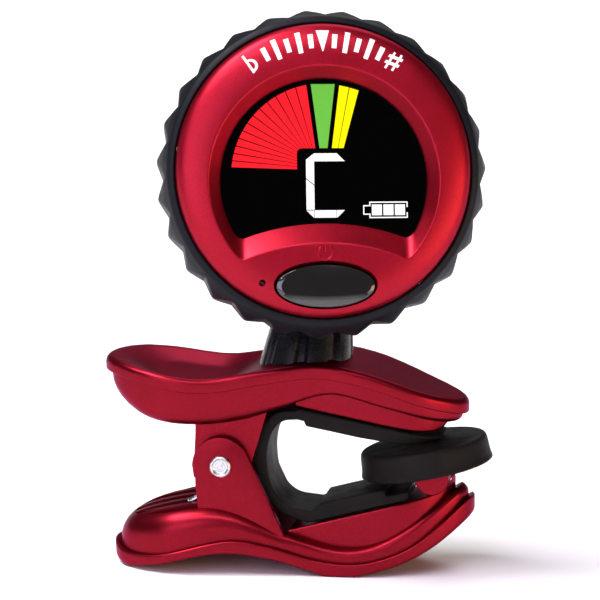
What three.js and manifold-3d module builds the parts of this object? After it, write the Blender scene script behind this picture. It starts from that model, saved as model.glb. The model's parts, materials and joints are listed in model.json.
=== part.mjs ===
// Clip-on instrument tuner: a round display head on a ball-jointed neck, carried by a
// sprung clip with rubber-lined jaws. Millimetres, +Z up. The jaws open towards +X, the
// display faces -Y and the clip's hinge pin lies along Y.
//
// Everything is drawn standing in the XY plane (x along the clip, y up, z out of the
// display side) inside one group that is turned upright at the end.
import * as THREE from "three";
import { mergeVertices } from "three/addons/utils/BufferGeometryUtils.js";
import Module from "manifold-3d";

const wasm = await Module();
wasm.setup();

const degrees = THREE.MathUtils.degToRad;
const GAP = 0.3; // clearance between neighbouring pieces
const CURVE_STEPS = 20; // straight stretches in a lever's outline

// ---- Clip: side curves (x, y) and half widths (x, z), each a smooth curve through its knots
const UPPER_CREST = [
  [-28.1, 30.2], [-24.5, 30], [-12.5, 28.45], [-4, 29.75],
  [4, 30.65], [10.4, 29.6], [19.4, 26.4], [24.4, 24.9],
];
const UPPER_BELLY = [
  [-27.1, 28.4], [-26.4, 25.4], [-22, 22.7], [-14, 21.8], [-7, 22.6],
  [-1.5, 24.4], [5.6, 26.2], [12.6, 24.5], [20.7, 22.5], [23.3, 22.8],
];
const UPPER_PLAN = [
  [-28.1, 0], [-27.3, 4], [-24, 8.3], [-18, 11.1], [-8, 10.3],
  [2, 8.9], [10.4, 8.6], [19.4, 6.5], [23.5, 3.2], [24.4, 0],
];
const LOWER_KEEL_GRIP = [
  [-26.9, 1.5], [-26.2, 0.3], [-24.6, 0], [-21.1, 0.7], [-10, 3.15], [-3.1, 2.4], [4.8, 0],
];
const LOWER_KEEL_JAW = [[9.2, 0], [15, 1.6], [19.6, 3.9], [25.3, 8.4]];
const LOWER_RIM = [
  [-26.8, 3.2], [-25.6, 2.5], [-20, 2.6], [-8.5, 5.1], [-3.1, 4.3],
  [3.4, 2.4], [8.6, 1.9], [12.8, 2.6], [17.4, 4.6], [24.8, 10.9],
];
const LOWER_BELLY = [
  [-26.5, 2.8], [-26, 5.3], [-23, 7.3], [-12.8, 9.6], [-8.7, 9.1], [-1.2, 6.05],
  [6.8, 3.9], [11.4, 4.4], [16, 6.75], [19.4, 9.35], [23.3, 12.4],
];
const LOWER_PLAN = [
  [-26.9, 0], [-26.2, 4], [-24, 7.4], [-18, 10.8], [-8, 10.3],
  [2, 8.9], [10.4, 8.4], [19.4, 6.4], [24.3, 3.2], [25.3, 0],
];
const RIM_THICKNESS = 2;
const BELLY_INSET = 0.9;
const WEB_HALF_WIDTH = 6;

// ---- Clip: hinge
const PIVOT = [-10.16, 15.5];
const EAR_RADIUS = 4.15;
const EAR_THICKNESS = 1.2;
const UPPER_EAR_INSIDE = 5.4; // half the distance between the upper lever's ears
const LOWER_EAR_INSIDE = UPPER_EAR_INSIDE + EAR_THICKNESS + GAP;
const RIVET_RADIUS = 1.15;
const RIVET_HEAD_RADIUS = 1.55;
const RIVET_HEAD_HEIGHT = 0.5;
const BUSH_RADIUS = 2.1;
const SPRING_RADIUS = 2.95; // to the middle of the wire
const WIRE_RADIUS = 0.5;
const SPRING_TURNS = 5;
const SPRING_HALF_LENGTH = 4.2;
const SPRING_FOOT_X = -20.5;
const SPRING_FOOT_Y = [9.0, 21.4]; // where the lower and the upper leg end

// ---- Grips: lengthwise pockets on the inner side, with ribs between them
const POCKET_LANES = 4;
const POCKET_WIDTH = 3.2;
const POCKET_RIB = 1.2;
const POCKET_ENDS = [-26, -15.4];
const POCKET_WALL = 2.3; // lever outline to pocket

// ---- Jaw liner and rocking foot
const LINER_HALF_WIDTH = 5.7;
const LINER_SHEET = 1.45;
const THROAT = { x: 0.7, y: 15.6, radiusX: 5.35, radiusY: 7.3 }; // middle of the rubber loop
const UPPER_PAD_SLOPE = -0.187;
const LOWER_PAD_SLOPE = 0.27;
const ROCKER = { x: 19.7, y: 14, radius: 2.4, halfWidth: 5.2 };
const FOOT = { x: 18.6, y: 13.75, radius: 9.35, topRadius: 8.85, height: 4.5 };
const FOOT_TILT = degrees(10.2);
const LUG_HALF_WIDTH = 1.3;
const LUG_RADIUS = 2.05;
const PIN_RADIUS = 0.7;

// ---- Neck
const NECK_SEAT = [0.9, 29.95];
const NECK_SEAT_TILT = degrees(6.3); // the seat follows the slope of the lever
const NECK_RADIUS = 6.8;
const NECK_GROOVE = 1.05;
const NECK_FLUTES = 8;
const NECK_TAPER = 0.8;
const NECK_CONE_SHARE = 0.6; // of the height up to the ball
const STEM_RADIUS = 1.9;
const BALL_RADIUS = 3.6;
const SPIGOT_RADIUS = 2.6;
const SEAT_WALL = 2; // lever top left under the neck

// ---- Head, drawn in its own frame: origin on its axis, z out of the display
const HEAD_CENTRE = new THREE.Vector3(3.6, 57.1, 4);
const HEAD_ATTITUDE = new THREE.Euler(degrees(-14), degrees(12), 0, "YXZ");
const BALL_IN_HEAD = new THREE.Vector3(0.4, -11, -12);
const MOUTH_LEAN = 17; // degrees that the socket's mouth opens backwards from straight down
const CASE_RADIUS = 20.6;
const CASE_WALL = 1.6;
const CASE_SPLIT = 2.85; // height of the joint between bezel and back shell
const BUMPER_TIPS = 27;
const BUMPER_TIP_RADIUS = 23.15;
const BUMPER_VALLEY_RADIUS = 22.3;
const WINDOW = { x: 0, y: -1.6, radius: 14.9, chinDrop: 5.9, chinRadius: 31.7 };
const CHAMFER = 1.6;
const CHIN_CHAMFER = 2.4;
const LENS_TOP = 6.8;
const BUTTON = { y: -16.3, radiusX: 6.9, radiusY: 3, top: 9.1, bottom: 4.4 };
const MIC_HOLE = { x: -8.6, y: -15.7, radius: 0.4 };
const POSTS = [[16.7, 3], [-16.7, 3], [10.7, -12.6], [-10.7, -12.6]];
const POST_RADIUS = 1.7;
const SCREW_RADIUS = 0.7;
const CELL = { y: 7.5, radius: 10, height: 3.2, bottom: -4.5 };
const DOOR_RADIUS = 11;
const BACK_FACE = -6.4;
const SLIDER = { x: 10.5, y: -7.5, travel: 2 };

const RED = { color: 0x9a1428, roughness: 0.32, metalness: 0.75 };
const BEZEL_RED = { color: 0xc01a35, roughness: 0.3, metalness: 0.75 };
const RUBBER = { color: 0x1e1b1b, roughness: 0.8, metalness: 0 };
const CHARCOAL = { color: 0x23262b, roughness: 0.7, metalness: 0 };
const PLASTIC = { color: 0x17181b, roughness: 0.4, metalness: 0 };
const GLOSS = { color: 0x050506, roughness: 0.06, metalness: 0 };
const STEEL = { color: 0xc9ccd0, roughness: 0.28, metalness: 1 };
const BRASS = { color: 0xc2a04e, roughness: 0.35, metalness: 1 };
const BOARD = { color: 0x1c5b35, roughness: 0.6, metalness: 0 };
const GLASS = { color: 0x20242a, roughness: 0.15, metalness: 0 };
const WHITE = { color: 0xe6e8ea, roughness: 0.5, metalness: 0 };
const NYLON = { color: 0xd9d6cc, roughness: 0.6, metalness: 0 };

// ---- Solids

// A closed three.js geometry as a solid that can be joined and cut.
function solid(geometry) {
  const bare = geometry.index ? geometry.toNonIndexed() : geometry.clone();
  for (const extra of ["normal", "uv"]) bare.deleteAttribute(extra);
  const merged = mergeVertices(bare, 1e-4);
  const vertProperties = merged.attributes.position.array;
  const triVerts = new Uint32Array(merged.index.array);
  return new wasm.Manifold(new wasm.Mesh({ numProp: 3, vertProperties, triVerts }));
}

function geometryOf(body) {
  const { vertProperties, triVerts } = body.getMesh();
  const geometry = new THREE.BufferGeometry();
  geometry.setAttribute("position", new THREE.Float32BufferAttribute(vertProperties, 3));
  geometry.setIndex([...triVerts]);
  geometry.computeVertexNormals();
  return geometry;
}

function piece(parent, name, body, look) {
  const material = new THREE.MeshStandardMaterial(look);
  const mesh = new THREE.Mesh(geometryOf(body), material);
  mesh.name = name;
  parent.add(mesh);
  return mesh;
}

function join(...bodies) {
  return bodies.reduce((whole, body) => whole.add(body));
}

// ---- Outlines

function curveThrough(knots, divisions) {
  const points = knots.map(([x, y]) => new THREE.Vector3(x, y, 0));
  const curve = new THREE.CatmullRomCurve3(points, false, "centripetal");
  return curve.getPoints(divisions).map(({ x, y }) => new THREE.Vector2(x, y));
}

function polygon(points) {
  return new THREE.Shape(points.map((p) => (p.isVector2 ? p : new THREE.Vector2(...p))));
}

function arc(x, y, radius, from, to, divisions) {
  const curve = new THREE.EllipseCurve(x, y, radius, radius, from, to, from > to);
  return curve.getPoints(divisions);
}

// The outline between an upper and a lower curve, both running from left to right.
function band(top, bottom) {
  return polygon([...bottom, ...[...top].reverse()]);
}

function lowered(knots, by) {
  return knots.map(([x, y]) => [x, y - by]);
}

// A lever's outline seen from above, moved in by an inset all round.
function planOutline(halfWidths, inset) {
  const start = halfWidths[0][0];
  const end = halfWidths.at(-1)[0];
  const widest = Math.max(...halfWidths.map(([, z]) => z));
  const middle = (start + end) / 2;
  const along = 1 - (2 * inset) / (end - start);
  const across = 1 - inset / widest;
  const side = curveThrough(halfWidths, CURVE_STEPS - 4);
  const moved = side.map(({ x, y }) => [middle + (x - middle) * along, y * across]);
  const mirrored = moved.slice(1, -1).reverse().map(([x, z]) => [x, -z]);
  return polygon([...moved, ...mirrored].reverse());
}

// ---- Basic forms

// An outline in XY given a thickness from z = near to z = far.
function slab(outline, near, far, curveSegments = 12) {
  const depth = far - near;
  const geometry = new THREE.ExtrudeGeometry(outline, { depth, curveSegments, bevelEnabled: false });
  return solid(geometry.translate(0, 0, near));
}

// An outline seen from above (x, z) given a height from y = low to y = high.
function column(outline, low, high) {
  const depth = high - low;
  const geometry = new THREE.ExtrudeGeometry(outline, { depth, bevelEnabled: false });
  return solid(geometry.rotateX(-Math.PI / 2).translate(0, low, 0));
}

function box(x0, x1, y0, y1, z0, z1) {
  const geometry = new THREE.BoxGeometry(x1 - x0, y1 - y0, z1 - z0);
  return solid(geometry.translate((x0 + x1) / 2, (y0 + y1) / 2, (z0 + z1) / 2));
}

// A round bar along z.
function rod(x, y, radius, near, far, sides = 24) {
  const geometry = new THREE.CylinderGeometry(radius, radius, far - near, sides);
  return solid(geometry.rotateX(Math.PI / 2).translate(x, y, (near + far) / 2));
}

// A profile of (radius, z) points turned round the z axis.
function turned(profile, sides) {
  const points = profile.map(([radius, z]) => new THREE.Vector2(radius, z));
  return solid(new THREE.LatheGeometry(points, sides).rotateX(Math.PI / 2));
}

// ---- Clip levers

// The rim slab and the inset belly that both levers have.
function leverBody(rim, belly, plan) {
  const whole = slab(rim, -15, 15).intersect(column(planOutline(plan, 0), -5, 45));
  const inner = slab(belly, -15, 15).intersect(column(planOutline(plan, BELLY_INSET), -5, 45));
  return whole.add(inner);
}

function bothSides(outline, inside, thickness) {
  return join(slab(outline, inside, inside + thickness), slab(outline, -inside - thickness, -inside));
}

// Lengthwise pockets with ribs between them, inside a lever's grip.
function gripPockets(plan, low, high) {
  const pitch = POCKET_WIDTH + POCKET_RIB;
  const lanes = [];
  for (let i = 0; i < POCKET_LANES; i++) {
    const middle = (i - (POCKET_LANES - 1) / 2) * pitch;
    const [left, right] = POCKET_ENDS;
    lanes.push(box(left, right, low, high, middle - POCKET_WIDTH / 2, middle + POCKET_WIDTH / 2));
  }
  return join(...lanes).intersect(column(planOutline(plan, POCKET_WALL), low, high));
}

function upperEarOutline() {
  const [x, y] = PIVOT;
  return polygon([
    [-14, 24], ...arc(x, y, EAR_RADIUS, Math.PI, 2 * Math.PI, 14), [-3.9, 22.6], [-3.4, 25],
  ]);
}

function lowerEarOutline() {
  const [x, y] = PIVOT;
  return polygon([
    [-1.2, 5], ...arc(x, y, EAR_RADIUS, degrees(24), Math.PI, 14), [-13.3, 9], [-13, 5],
  ]);
}

function upperLever(parent) {
  const crest = curveThrough(UPPER_CREST, CURVE_STEPS);
  const rim = band(crest, curveThrough(lowered(UPPER_CREST, RIM_THICKNESS), CURVE_STEPS));
  const bellyTop = curveThrough(lowered(UPPER_CREST, RIM_THICKNESS / 2), CURVE_STEPS);
  const belly = band(bellyTop, curveThrough(UPPER_BELLY, CURVE_STEPS));
  const web = polygon([
    [0.3, 26], [0.3, 24.1], [9.9, 22.2], [19.2, 20.35], [21.6, 20.7], [22, 24],
  ]);
  const webPlan = column(planOutline(UPPER_PLAN, 1.9), -5, 45);
  const seatTilt = new THREE.Matrix4().makeRotationZ(NECK_SEAT_TILT);
  const seat = new THREE.CylinderGeometry(NECK_RADIUS + GAP, NECK_RADIUS + GAP, 4, 40);
  const spigotHole = new THREE.CylinderGeometry(SPIGOT_RADIUS + GAP, SPIGOT_RADIUS + GAP, 12, 24);
  const screwRoom = new THREE.CylinderGeometry(4.3, 4.3, 9, 28);
  const place = (geometry, up) =>
    solid(geometry.translate(0, up, 0).applyMatrix4(seatTilt).translate(...NECK_SEAT, 0));
  const lever = leverBody(rim, belly, UPPER_PLAN)
    .add(slab(web, -WEB_HALF_WIDTH, WEB_HALF_WIDTH).intersect(webPlan))
    .add(bothSides(upperEarOutline(), UPPER_EAR_INSIDE, EAR_THICKNESS))
    .subtract(gripPockets(UPPER_PLAN, 20, 26.4))
    .subtract(rod(...PIVOT, RIVET_RADIUS + GAP, -10, 10))
    .subtract(place(seat, 2))
    .subtract(place(spigotHole, 0))
    .subtract(place(screwRoom, -4.5 - SEAT_WALL));
  return piece(parent, "upper_lever", lever, RED);
}

function lowerLever(parent) {
  const keel = [...curveThrough(LOWER_KEEL_GRIP, 14), ...curveThrough(LOWER_KEEL_JAW, 7)];
  const rim = band(curveThrough(LOWER_RIM, CURVE_STEPS), keel);
  const inside = lowered(LOWER_RIM, RIM_THICKNESS / 2).slice(1);
  const belly = band(curveThrough(LOWER_BELLY, CURVE_STEPS), curveThrough(inside, CURVE_STEPS));
  const web = polygon([[-1, 3.5], [10, 3.5], [21, 8], [22.4, 11], [22.1, 13.4], [21.2, 11.9], [-0.4, 6.1]]);
  const webPlan = column(planOutline(LOWER_PLAN, 1.9), -5, 45);
  const lug = join(
    rod(ROCKER.x, ROCKER.y, LUG_RADIUS, -LUG_HALF_WIDTH, LUG_HALF_WIDTH),
    box(ROCKER.x - 1.5, ROCKER.x + 1.5, 9, ROCKER.y, -LUG_HALF_WIDTH, LUG_HALF_WIDTH),
  );
  const reach = ROCKER.halfWidth + 2;
  const cradle = rod(ROCKER.x, ROCKER.y, ROCKER.radius + GAP, -reach, reach, 28);
  const lever = leverBody(rim, belly, LOWER_PLAN)
    .add(slab(web, -WEB_HALF_WIDTH, WEB_HALF_WIDTH).intersect(webPlan))
    .add(bothSides(lowerEarOutline(), LOWER_EAR_INSIDE, EAR_THICKNESS))
    .subtract(cradle)
    .add(lug)
    .subtract(rod(ROCKER.x, ROCKER.y, PIN_RADIUS + GAP, -3, 3))
    .subtract(gripPockets(LOWER_PLAN, 4.4, 12))
    .subtract(rod(...PIVOT, RIVET_RADIUS + GAP, -10, 10));
  return piece(parent, "lower_lever", lever, RED);
}

// ---- Hinge pieces

function clipRivet(parent) {
  const outside = LOWER_EAR_INSIDE + EAR_THICKNESS + GAP;
  const top = outside + RIVET_HEAD_HEIGHT;
  const half = [[0, top], [RIVET_HEAD_RADIUS * 0.8, top], [RIVET_HEAD_RADIUS, outside + 0.2],
    [RIVET_HEAD_RADIUS, outside], [RIVET_RADIUS, outside]];
  const mirrored = [...half].reverse().map(([radius, z]) => [radius, -z]);
  const rivet = turned([...half, ...mirrored].reverse(), 28);
  return piece(parent, "clip_rivet", rivet.translate([...PIVOT, 0]), STEEL);
}

function pivotBush(parent) {
  const half = UPPER_EAR_INSIDE - GAP;
  const bush = rod(...PIVOT, BUSH_RADIUS, -half, half).subtract(
    rod(...PIVOT, RIVET_RADIUS + GAP, -half - 1, half + 1),
  );
  return piece(parent, "pivot_bush", bush, NYLON);
}

// The angle at which a straight leg from a far point meets the coil.
function tangentAngle(x, y, side) {
  const distance = Math.hypot(x - PIVOT[0], y - PIVOT[1]);
  const bearing = Math.atan2(y - PIVOT[1], x - PIVOT[0]);
  return bearing + side * Math.acos(SPRING_RADIUS / distance);
}

// Lower leg, close coils round the bush, upper leg: one bent wire.
class SpringPath extends THREE.Curve {
  constructor() {
    super();
    const [lowY, highY] = SPRING_FOOT_Y;
    this.start = tangentAngle(SPRING_FOOT_X, lowY, 1);
    this.end = tangentAngle(SPRING_FOOT_X, highY, -1) + 2 * Math.PI * (SPRING_TURNS + 1);
    while (this.end - this.start > 2 * Math.PI * (SPRING_TURNS + 1)) this.end -= 2 * Math.PI;
    this.leg = Math.hypot(SPRING_FOOT_X - PIVOT[0], lowY - PIVOT[1]);
    this.coil = (this.end - this.start) * SPRING_RADIUS;
  }

  getPoint(t, target = new THREE.Vector3()) {
    const along = t * (2 * this.leg + this.coil) - this.leg;
    if (along < 0) {
      const from = this.onCoil(0);
      const foot = new THREE.Vector3(SPRING_FOOT_X, SPRING_FOOT_Y[0], SPRING_HALF_LENGTH);
      return target.lerpVectors(from, foot, -along / this.leg);
    }
    if (along > this.coil) {
      const from = this.onCoil(1);
      const foot = new THREE.Vector3(SPRING_FOOT_X, SPRING_FOOT_Y[1], -SPRING_HALF_LENGTH);
      return target.lerpVectors(from, foot, (along - this.coil) / this.leg);
    }
    return target.copy(this.onCoil(along / this.coil));
  }

  onCoil(share) {
    const angle = this.start + (this.end - this.start) * share;
    const x = PIVOT[0] + SPRING_RADIUS * Math.cos(angle);
    const y = PIVOT[1] + SPRING_RADIUS * Math.sin(angle);
    return new THREE.Vector3(x, y, SPRING_HALF_LENGTH * (1 - 2 * share));
  }
}

function torsionSpring(parent) {
  const wire = new THREE.Shape().absarc(0, 0, WIRE_RADIUS, 0, 2 * Math.PI);
  const geometry = new THREE.ExtrudeGeometry(wire, {
    extrudePath: new SpringPath(), steps: 84, curveSegments: 3,
  });
  return piece(parent, "torsion_spring", solid(geometry), STEEL);
}

// ---- Jaw liner: one rubber loop, in two solids that part at the back of the throat

function throatArc(grow, from, to) {
  const { x, y, radiusX, radiusY } = THROAT;
  const curve = new THREE.EllipseCurve(x, y, radiusX + grow, radiusY + grow, from, to, from > to);
  return curve.getPoints(14);
}

function jawLinerUpper(parent) {
  const half = LINER_SHEET / 2;
  const parting = degrees(176);
  const padStart = [1.5, 21.2];
  const padBreak = [9.2, 21.2 + UPPER_PAD_SLOPE * (9.2 - 1.5)];
  const outline = polygon([
    ...throatArc(-half, parting, degrees(96)),
    [1.2, 21.95], padStart, padBreak, [14.5, 18.98],
    ...curveThrough([[17.8, 18.88], [20.4, 19.2], [21.5, 20.2]], 6),
    [19.2, 20.02], [9.9, 21.87], [0.6, 23.75],
    ...throatArc(half, degrees(104), parting),
  ]);
  const liner = slab(outline, -LINER_HALF_WIDTH, LINER_HALF_WIDTH);
  return piece(parent, "jaw_liner_upper", liner, RUBBER);
}

function jawLinerLower(parent) {
  const half = LINER_SHEET / 2;
  const parting = degrees(180);
  const along = (x) => 6.6 + LOWER_PAD_SLOPE * (x - 0.3);
  const outline = polygon([
    ...throatArc(half, parting, degrees(262)),
    [4.4, along(4.4)], [16.4, along(16.4)], [16.4, along(16.4) + 1.4],
    [13.4, along(13.4) + 1.4], [13.1, along(13.1) + 2.25], [8.8, along(8.8) + 2.45],
    [3.5, along(3.5) + 2.45], [3.3, along(3.3) + 1.6],
    ...throatArc(-half, degrees(274), parting),
  ]);
  const liner = slab(outline, -LINER_HALF_WIDTH, LINER_HALF_WIDTH);
  return piece(parent, "jaw_liner_lower", liner, RUBBER);
}

// ---- Rocking foot

function rockerPieces(parent) {
  const { x, y, radius, halfWidth } = ROCKER;
  const plateLow = 16.5;
  const plateHigh = 17.4;
  const block = join(
    rod(x, y, radius, -halfWidth, halfWidth, 28),
    box(x - radius, x + radius, y, plateLow + 0.3, -halfWidth, halfWidth),
    box(x - 5, x + 4.6, plateLow, plateHigh, -halfWidth, halfWidth),
  );
  const slotHalf = LUG_HALF_WIDTH + GAP;
  const slot = box(x - 5, x + 5, 10, plateLow, -slotHalf, slotHalf);
  const carrier = block.subtract(slot).subtract(rod(x, y, PIN_RADIUS + GAP, -9, 9));
  piece(parent, "rocker_carrier", carrier, RED);
  const pinEnd = halfWidth - 0.4;
  piece(parent, "rocker_pin", rod(x, y, PIN_RADIUS, -pinEnd, pinEnd, 16), STEEL);

  const puck = new THREE.LatheGeometry(
    [[0, 0], [FOOT.radius, 0], [FOOT.radius - 0.1, 0.7], [FOOT.topRadius, 3.7],
      [FOOT.topRadius - 0.7, FOOT.height], [0, FOOT.height]].map(([r, h]) => new THREE.Vector2(r, h)),
    36,
  );
  puck.rotateZ(FOOT_TILT).translate(FOOT.x, FOOT.y, 0);
  const side = halfWidth + GAP;
  const cavity = join(
    box(x - radius - 2 * GAP, x + radius + 2 * GAP, 10, plateLow, -side, side),
    box(x - 5 - GAP, x + 4.6 + GAP, plateLow - GAP, plateHigh + GAP, -side, side),
  );
  piece(parent, "rocker_foot", solid(puck).subtract(cavity), RUBBER);
}

// ---- Neck

function flutedOutline(radius, groove) {
  const points = [];
  const pitch = (2 * Math.PI) / NECK_FLUTES;
  for (let i = 0; i < NECK_FLUTES; i++) {
    const middle = (i + 0.5) * pitch;
    for (const [share, depth] of [[-0.3, 0], [0, 0], [0.3, 0], [0.38, groove], [0.62, groove]]) {
      const angle = middle + share * pitch;
      points.push([(radius - depth) * Math.cos(angle), (radius - depth) * Math.sin(angle)]);
    }
  }
  return polygon(points);
}

// Narrows and leans an upright form so that its axis runs from the origin to a point above.
function leaned(geometry, towards, height, taper) {
  const at = geometry.attributes.position;
  for (let i = 0; i < at.count; i++) {
    const up = at.getY(i);
    const scale = 1 + (taper - 1) * (up / height);
    const share = up / towards.y;
    at.setX(i, at.getX(i) * scale + towards.x * share);
    at.setZ(i, at.getZ(i) * scale + towards.z * share);
  }
  return geometry;
}

function neckPieces(parent, ball) {
  const neck = new THREE.Group();
  neck.position.set(...NECK_SEAT, 0);
  neck.rotation.z = NECK_SEAT_TILT;
  neck.updateMatrix();
  parent.add(neck);
  const top = ball.clone().applyMatrix4(neck.matrix.clone().invert());

  const height = top.y * NECK_CONE_SHARE;
  const cone = new THREE.ExtrudeGeometry(flutedOutline(NECK_RADIUS, NECK_GROOVE), {
    depth: height - GAP, steps: 2, bevelEnabled: false,
  });
  leaned(cone.rotateX(-Math.PI / 2).translate(0, GAP, 0), top, height, NECK_TAPER);
  const stem = new THREE.CylinderGeometry(STEM_RADIUS, STEM_RADIUS, top.y - 3, 20);
  leaned(stem.translate(0, (top.y + 3) / 2, 0), top, top.y, 1);
  const sphere = new THREE.SphereGeometry(BALL_RADIUS, 18, 12).translate(...top.toArray());
  const spigotEnd = -SEAT_WALL - 2 * GAP;
  const spigot = new THREE.CylinderGeometry(SPIGOT_RADIUS, SPIGOT_RADIUS, 1 - spigotEnd, 24);
  const bore = new THREE.CylinderGeometry(1.3, 1.3, 6, 16).translate(0, spigotEnd, 0);
  const arm = join(
    solid(cone), solid(stem), solid(sphere),
    solid(spigot.translate(0, (1 + spigotEnd) / 2, 0)),
  ).subtract(solid(bore));
  piece(neck, "neck_arm", arm, PLASTIC);

  const washerTop = spigotEnd - GAP;
  const washer = new THREE.CylinderGeometry(3.9, 3.9, 0.5, 28).translate(0, washerTop - 0.25, 0);
  const washerHole = new THREE.CylinderGeometry(1.4, 1.4, 3, 16).translate(0, washerTop, 0);
  piece(neck, "neck_washer", solid(washer).subtract(solid(washerHole)), STEEL);
  const headTop = washerTop - 0.5 - GAP;
  const screw = join(
    solid(new THREE.CylinderGeometry(2.3, 2.3, 1, 20).translate(0, headTop - 0.5, 0)),
    solid(new THREE.CylinderGeometry(1, 1, 3.9, 16).translate(0, headTop + 1.85, 0)),
  ).subtract(solid(new THREE.BoxGeometry(5, 0.8, 0.7).translate(0, headTop - 0.9, 0)));
  piece(neck, "neck_screw", screw, STEEL);
}

// ---- Head: case

// The display window: a circle whose foot is cut off by a shallow arch.
function windowOutline(grow) {
  const { x, y, radius, chinDrop, chinRadius } = WINDOW;
  const r = radius + grow;
  const chin = chinRadius - grow;
  const chinY = y - chinDrop - chinRadius;
  const reach = Math.abs(chinY - y);
  const fromCircle = Math.acos((r * r + reach * reach - chin * chin) / (2 * r * reach));
  const fromChin = Math.acos((chin * chin + reach * reach - r * r) / (2 * chin * reach));
  const up = Math.PI / 2;
  return polygon([
    ...arc(x, y, r, -up + fromCircle, 3 * up - fromCircle, 36),
    ...arc(x, chinY, chin, up + fromChin, up - fromChin, 8).slice(1, -1),
  ]);
}

// The sloped rim round the window: a cone, less the shallower cone of the chin below it.
function windowRim(low, high) {
  const { x, y, radius, chinDrop, chinRadius } = WINDOW;
  const cone = turned([[0, low], [radius, low], [radius + CHAMFER, high], [0, high]], 48);
  const chin = turned([
    [0, low - 1], [chinRadius, low - 1], [chinRadius, low],
    [chinRadius - CHIN_CHAMFER, high], [0, high],
  ], 120);
  return cone.translate([x, y, 0]).subtract(chin.translate([x, y - chinDrop - chinRadius, 0]));
}

function frontBezel(parent) {
  const dome = turned([
    [0, CASE_SPLIT + GAP / 2], [CASE_RADIUS, CASE_SPLIT + GAP / 2], [CASE_RADIUS, 6.3],
    [20.1, 7.4], [19.2, 8.3], [18, 8.8], [16.6, 8.9], [0, 8.9],
  ], 48);
  const posts = POSTS.map(([x, y]) => rod(x, y, POST_RADIUS, -4.3, 6, 16));
  const bores = POSTS.map(([x, y]) => rod(x, y, SCREW_RADIUS + GAP, -5, 4.6, 12));
  const cavity = rod(0, 0, CASE_RADIUS - CASE_WALL, -5, 5.25, 40);
  const buttonShape = new THREE.Shape()
    .absellipse(0, BUTTON.y, BUTTON.radiusX + GAP, BUTTON.radiusY + GAP, 0, 2 * Math.PI);
  const bezel = join(dome.subtract(cavity), ...posts)
    .subtract(join(...bores))
    .subtract(slab(windowOutline(0), 0, 9))
    .subtract(windowRim(LENS_TOP, 8.95))
    .subtract(slab(buttonShape, 2, 12))
    .subtract(rod(MIC_HOLE.x, MIC_HOLE.y, MIC_HOLE.radius, 3, 12, 12));
  return piece(parent, "front_bezel", bezel, BEZEL_RED);
}

function backShell(parent) {
  const inner = CASE_RADIUS - CASE_WALL;
  const bowl = turned([
    [0, BACK_FACE], [17.6, BACK_FACE], [19.8, -5.4], [CASE_RADIUS, -3.4],
    [CASE_RADIUS, CASE_SPLIT - GAP / 2], [inner, CASE_SPLIT - GAP / 2], [inner, -4.9], [0, -4.9],
  ], 44);
  const holes = POSTS.map(([x, y]) => rod(x, y, 1, -8, -4, 12));
  const counterbores = POSTS.map(([x, y]) => rod(x, y, 1.8, -8, -5.6, 16));
  const slot = SLIDER.travel / 2 + 1.2 + GAP;
  const shell = bowl
    .subtract(rod(0, CELL.y, DOOR_RADIUS + GAP, -8, -4, 36))
    .subtract(join(...holes, ...counterbores))
    .subtract(box(SLIDER.x - slot, SLIDER.x + slot, SLIDER.y - 1.1, SLIDER.y + 1.1, -8, -4));
  return piece(parent, "back_shell", shell, PLASTIC);
}

// Rubber ring with faceted teeth round its widest line.
function bumperRing(parent) {
  const points = [];
  for (let i = 0; i < BUMPER_TIPS; i++) {
    const pitch = (2 * Math.PI) / BUMPER_TIPS;
    const tip = Math.PI / 2 + degrees(5) - (i * pitch);
    for (const [share, radius] of [[0.08, BUMPER_TIP_RADIUS], [-0.08, BUMPER_TIP_RADIUS],
      [-0.5, BUMPER_VALLEY_RADIUS]]) {
      const angle = tip + share * pitch;
      points.push([radius * Math.cos(angle), radius * Math.sin(angle)]);
    }
  }
  const star = slab(polygon(points.reverse()), -8, 8);
  const bore = CASE_RADIUS + GAP;
  const barrel = turned([
    [bore, -4], [22.2, -3.6], [BUMPER_TIP_RADIUS, -0.9], [BUMPER_TIP_RADIUS, 1.3],
    [BUMPER_VALLEY_RADIUS - 0.1, 4.4], [21.5, 6], [bore, 6.3], [bore, -4],
  ], 54);
  return piece(parent, "bumper_ring", star.intersect(barrel), CHARCOAL);
}

function casePieces(parent) {
  frontBezel(parent);
  backShell(parent);
  bumperRing(parent);
  piece(parent, "display_lens", slab(windowOutline(-GAP), 5.5, LENS_TOP), GLOSS);

  const button = new THREE.Shape()
    .absellipse(0, BUTTON.y, BUTTON.radiusX, BUTTON.radiusY, 0, 2 * Math.PI);
  const cap = new THREE.ExtrudeGeometry(button, {
    depth: BUTTON.top - BUTTON.bottom - 0.5, curveSegments: 16, bevelThickness: 0.5,
    bevelSize: 0.8, bevelOffset: -0.8, bevelSegments: 2,
  });
  piece(parent, "power_button", solid(cap.translate(0, 0, BUTTON.bottom)), GLOSS);

  const door = rod(0, CELL.y, DOOR_RADIUS, BACK_FACE, -4.9, 36)
    .subtract(box(-4, 4, CELL.y - 0.9, CELL.y + 0.9, -7, -5.7));
  piece(parent, "battery_door", door, PLASTIC);
  const slider = join(
    box(SLIDER.x - 2.2, SLIDER.x + 0.2, SLIDER.y - 0.8, SLIDER.y + 0.8, -7.1, -4.6),
    box(SLIDER.x - 3.3, SLIDER.x + 1.3, SLIDER.y - 1.6, SLIDER.y + 1.6, -4.6, -4),
  );
  piece(parent, "mode_slider", slider, PLASTIC);
  POSTS.forEach(([x, y], i) => {
    const screw = join(
      rod(x, y, 1.5, BACK_FACE + 0.1, -5.9, 16), rod(x, y, SCREW_RADIUS, -6, 2, 12),
    );
    piece(parent, `case_screw_${i + 1}`, screw, STEEL);
  });
}

// ---- Head: what is inside

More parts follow.
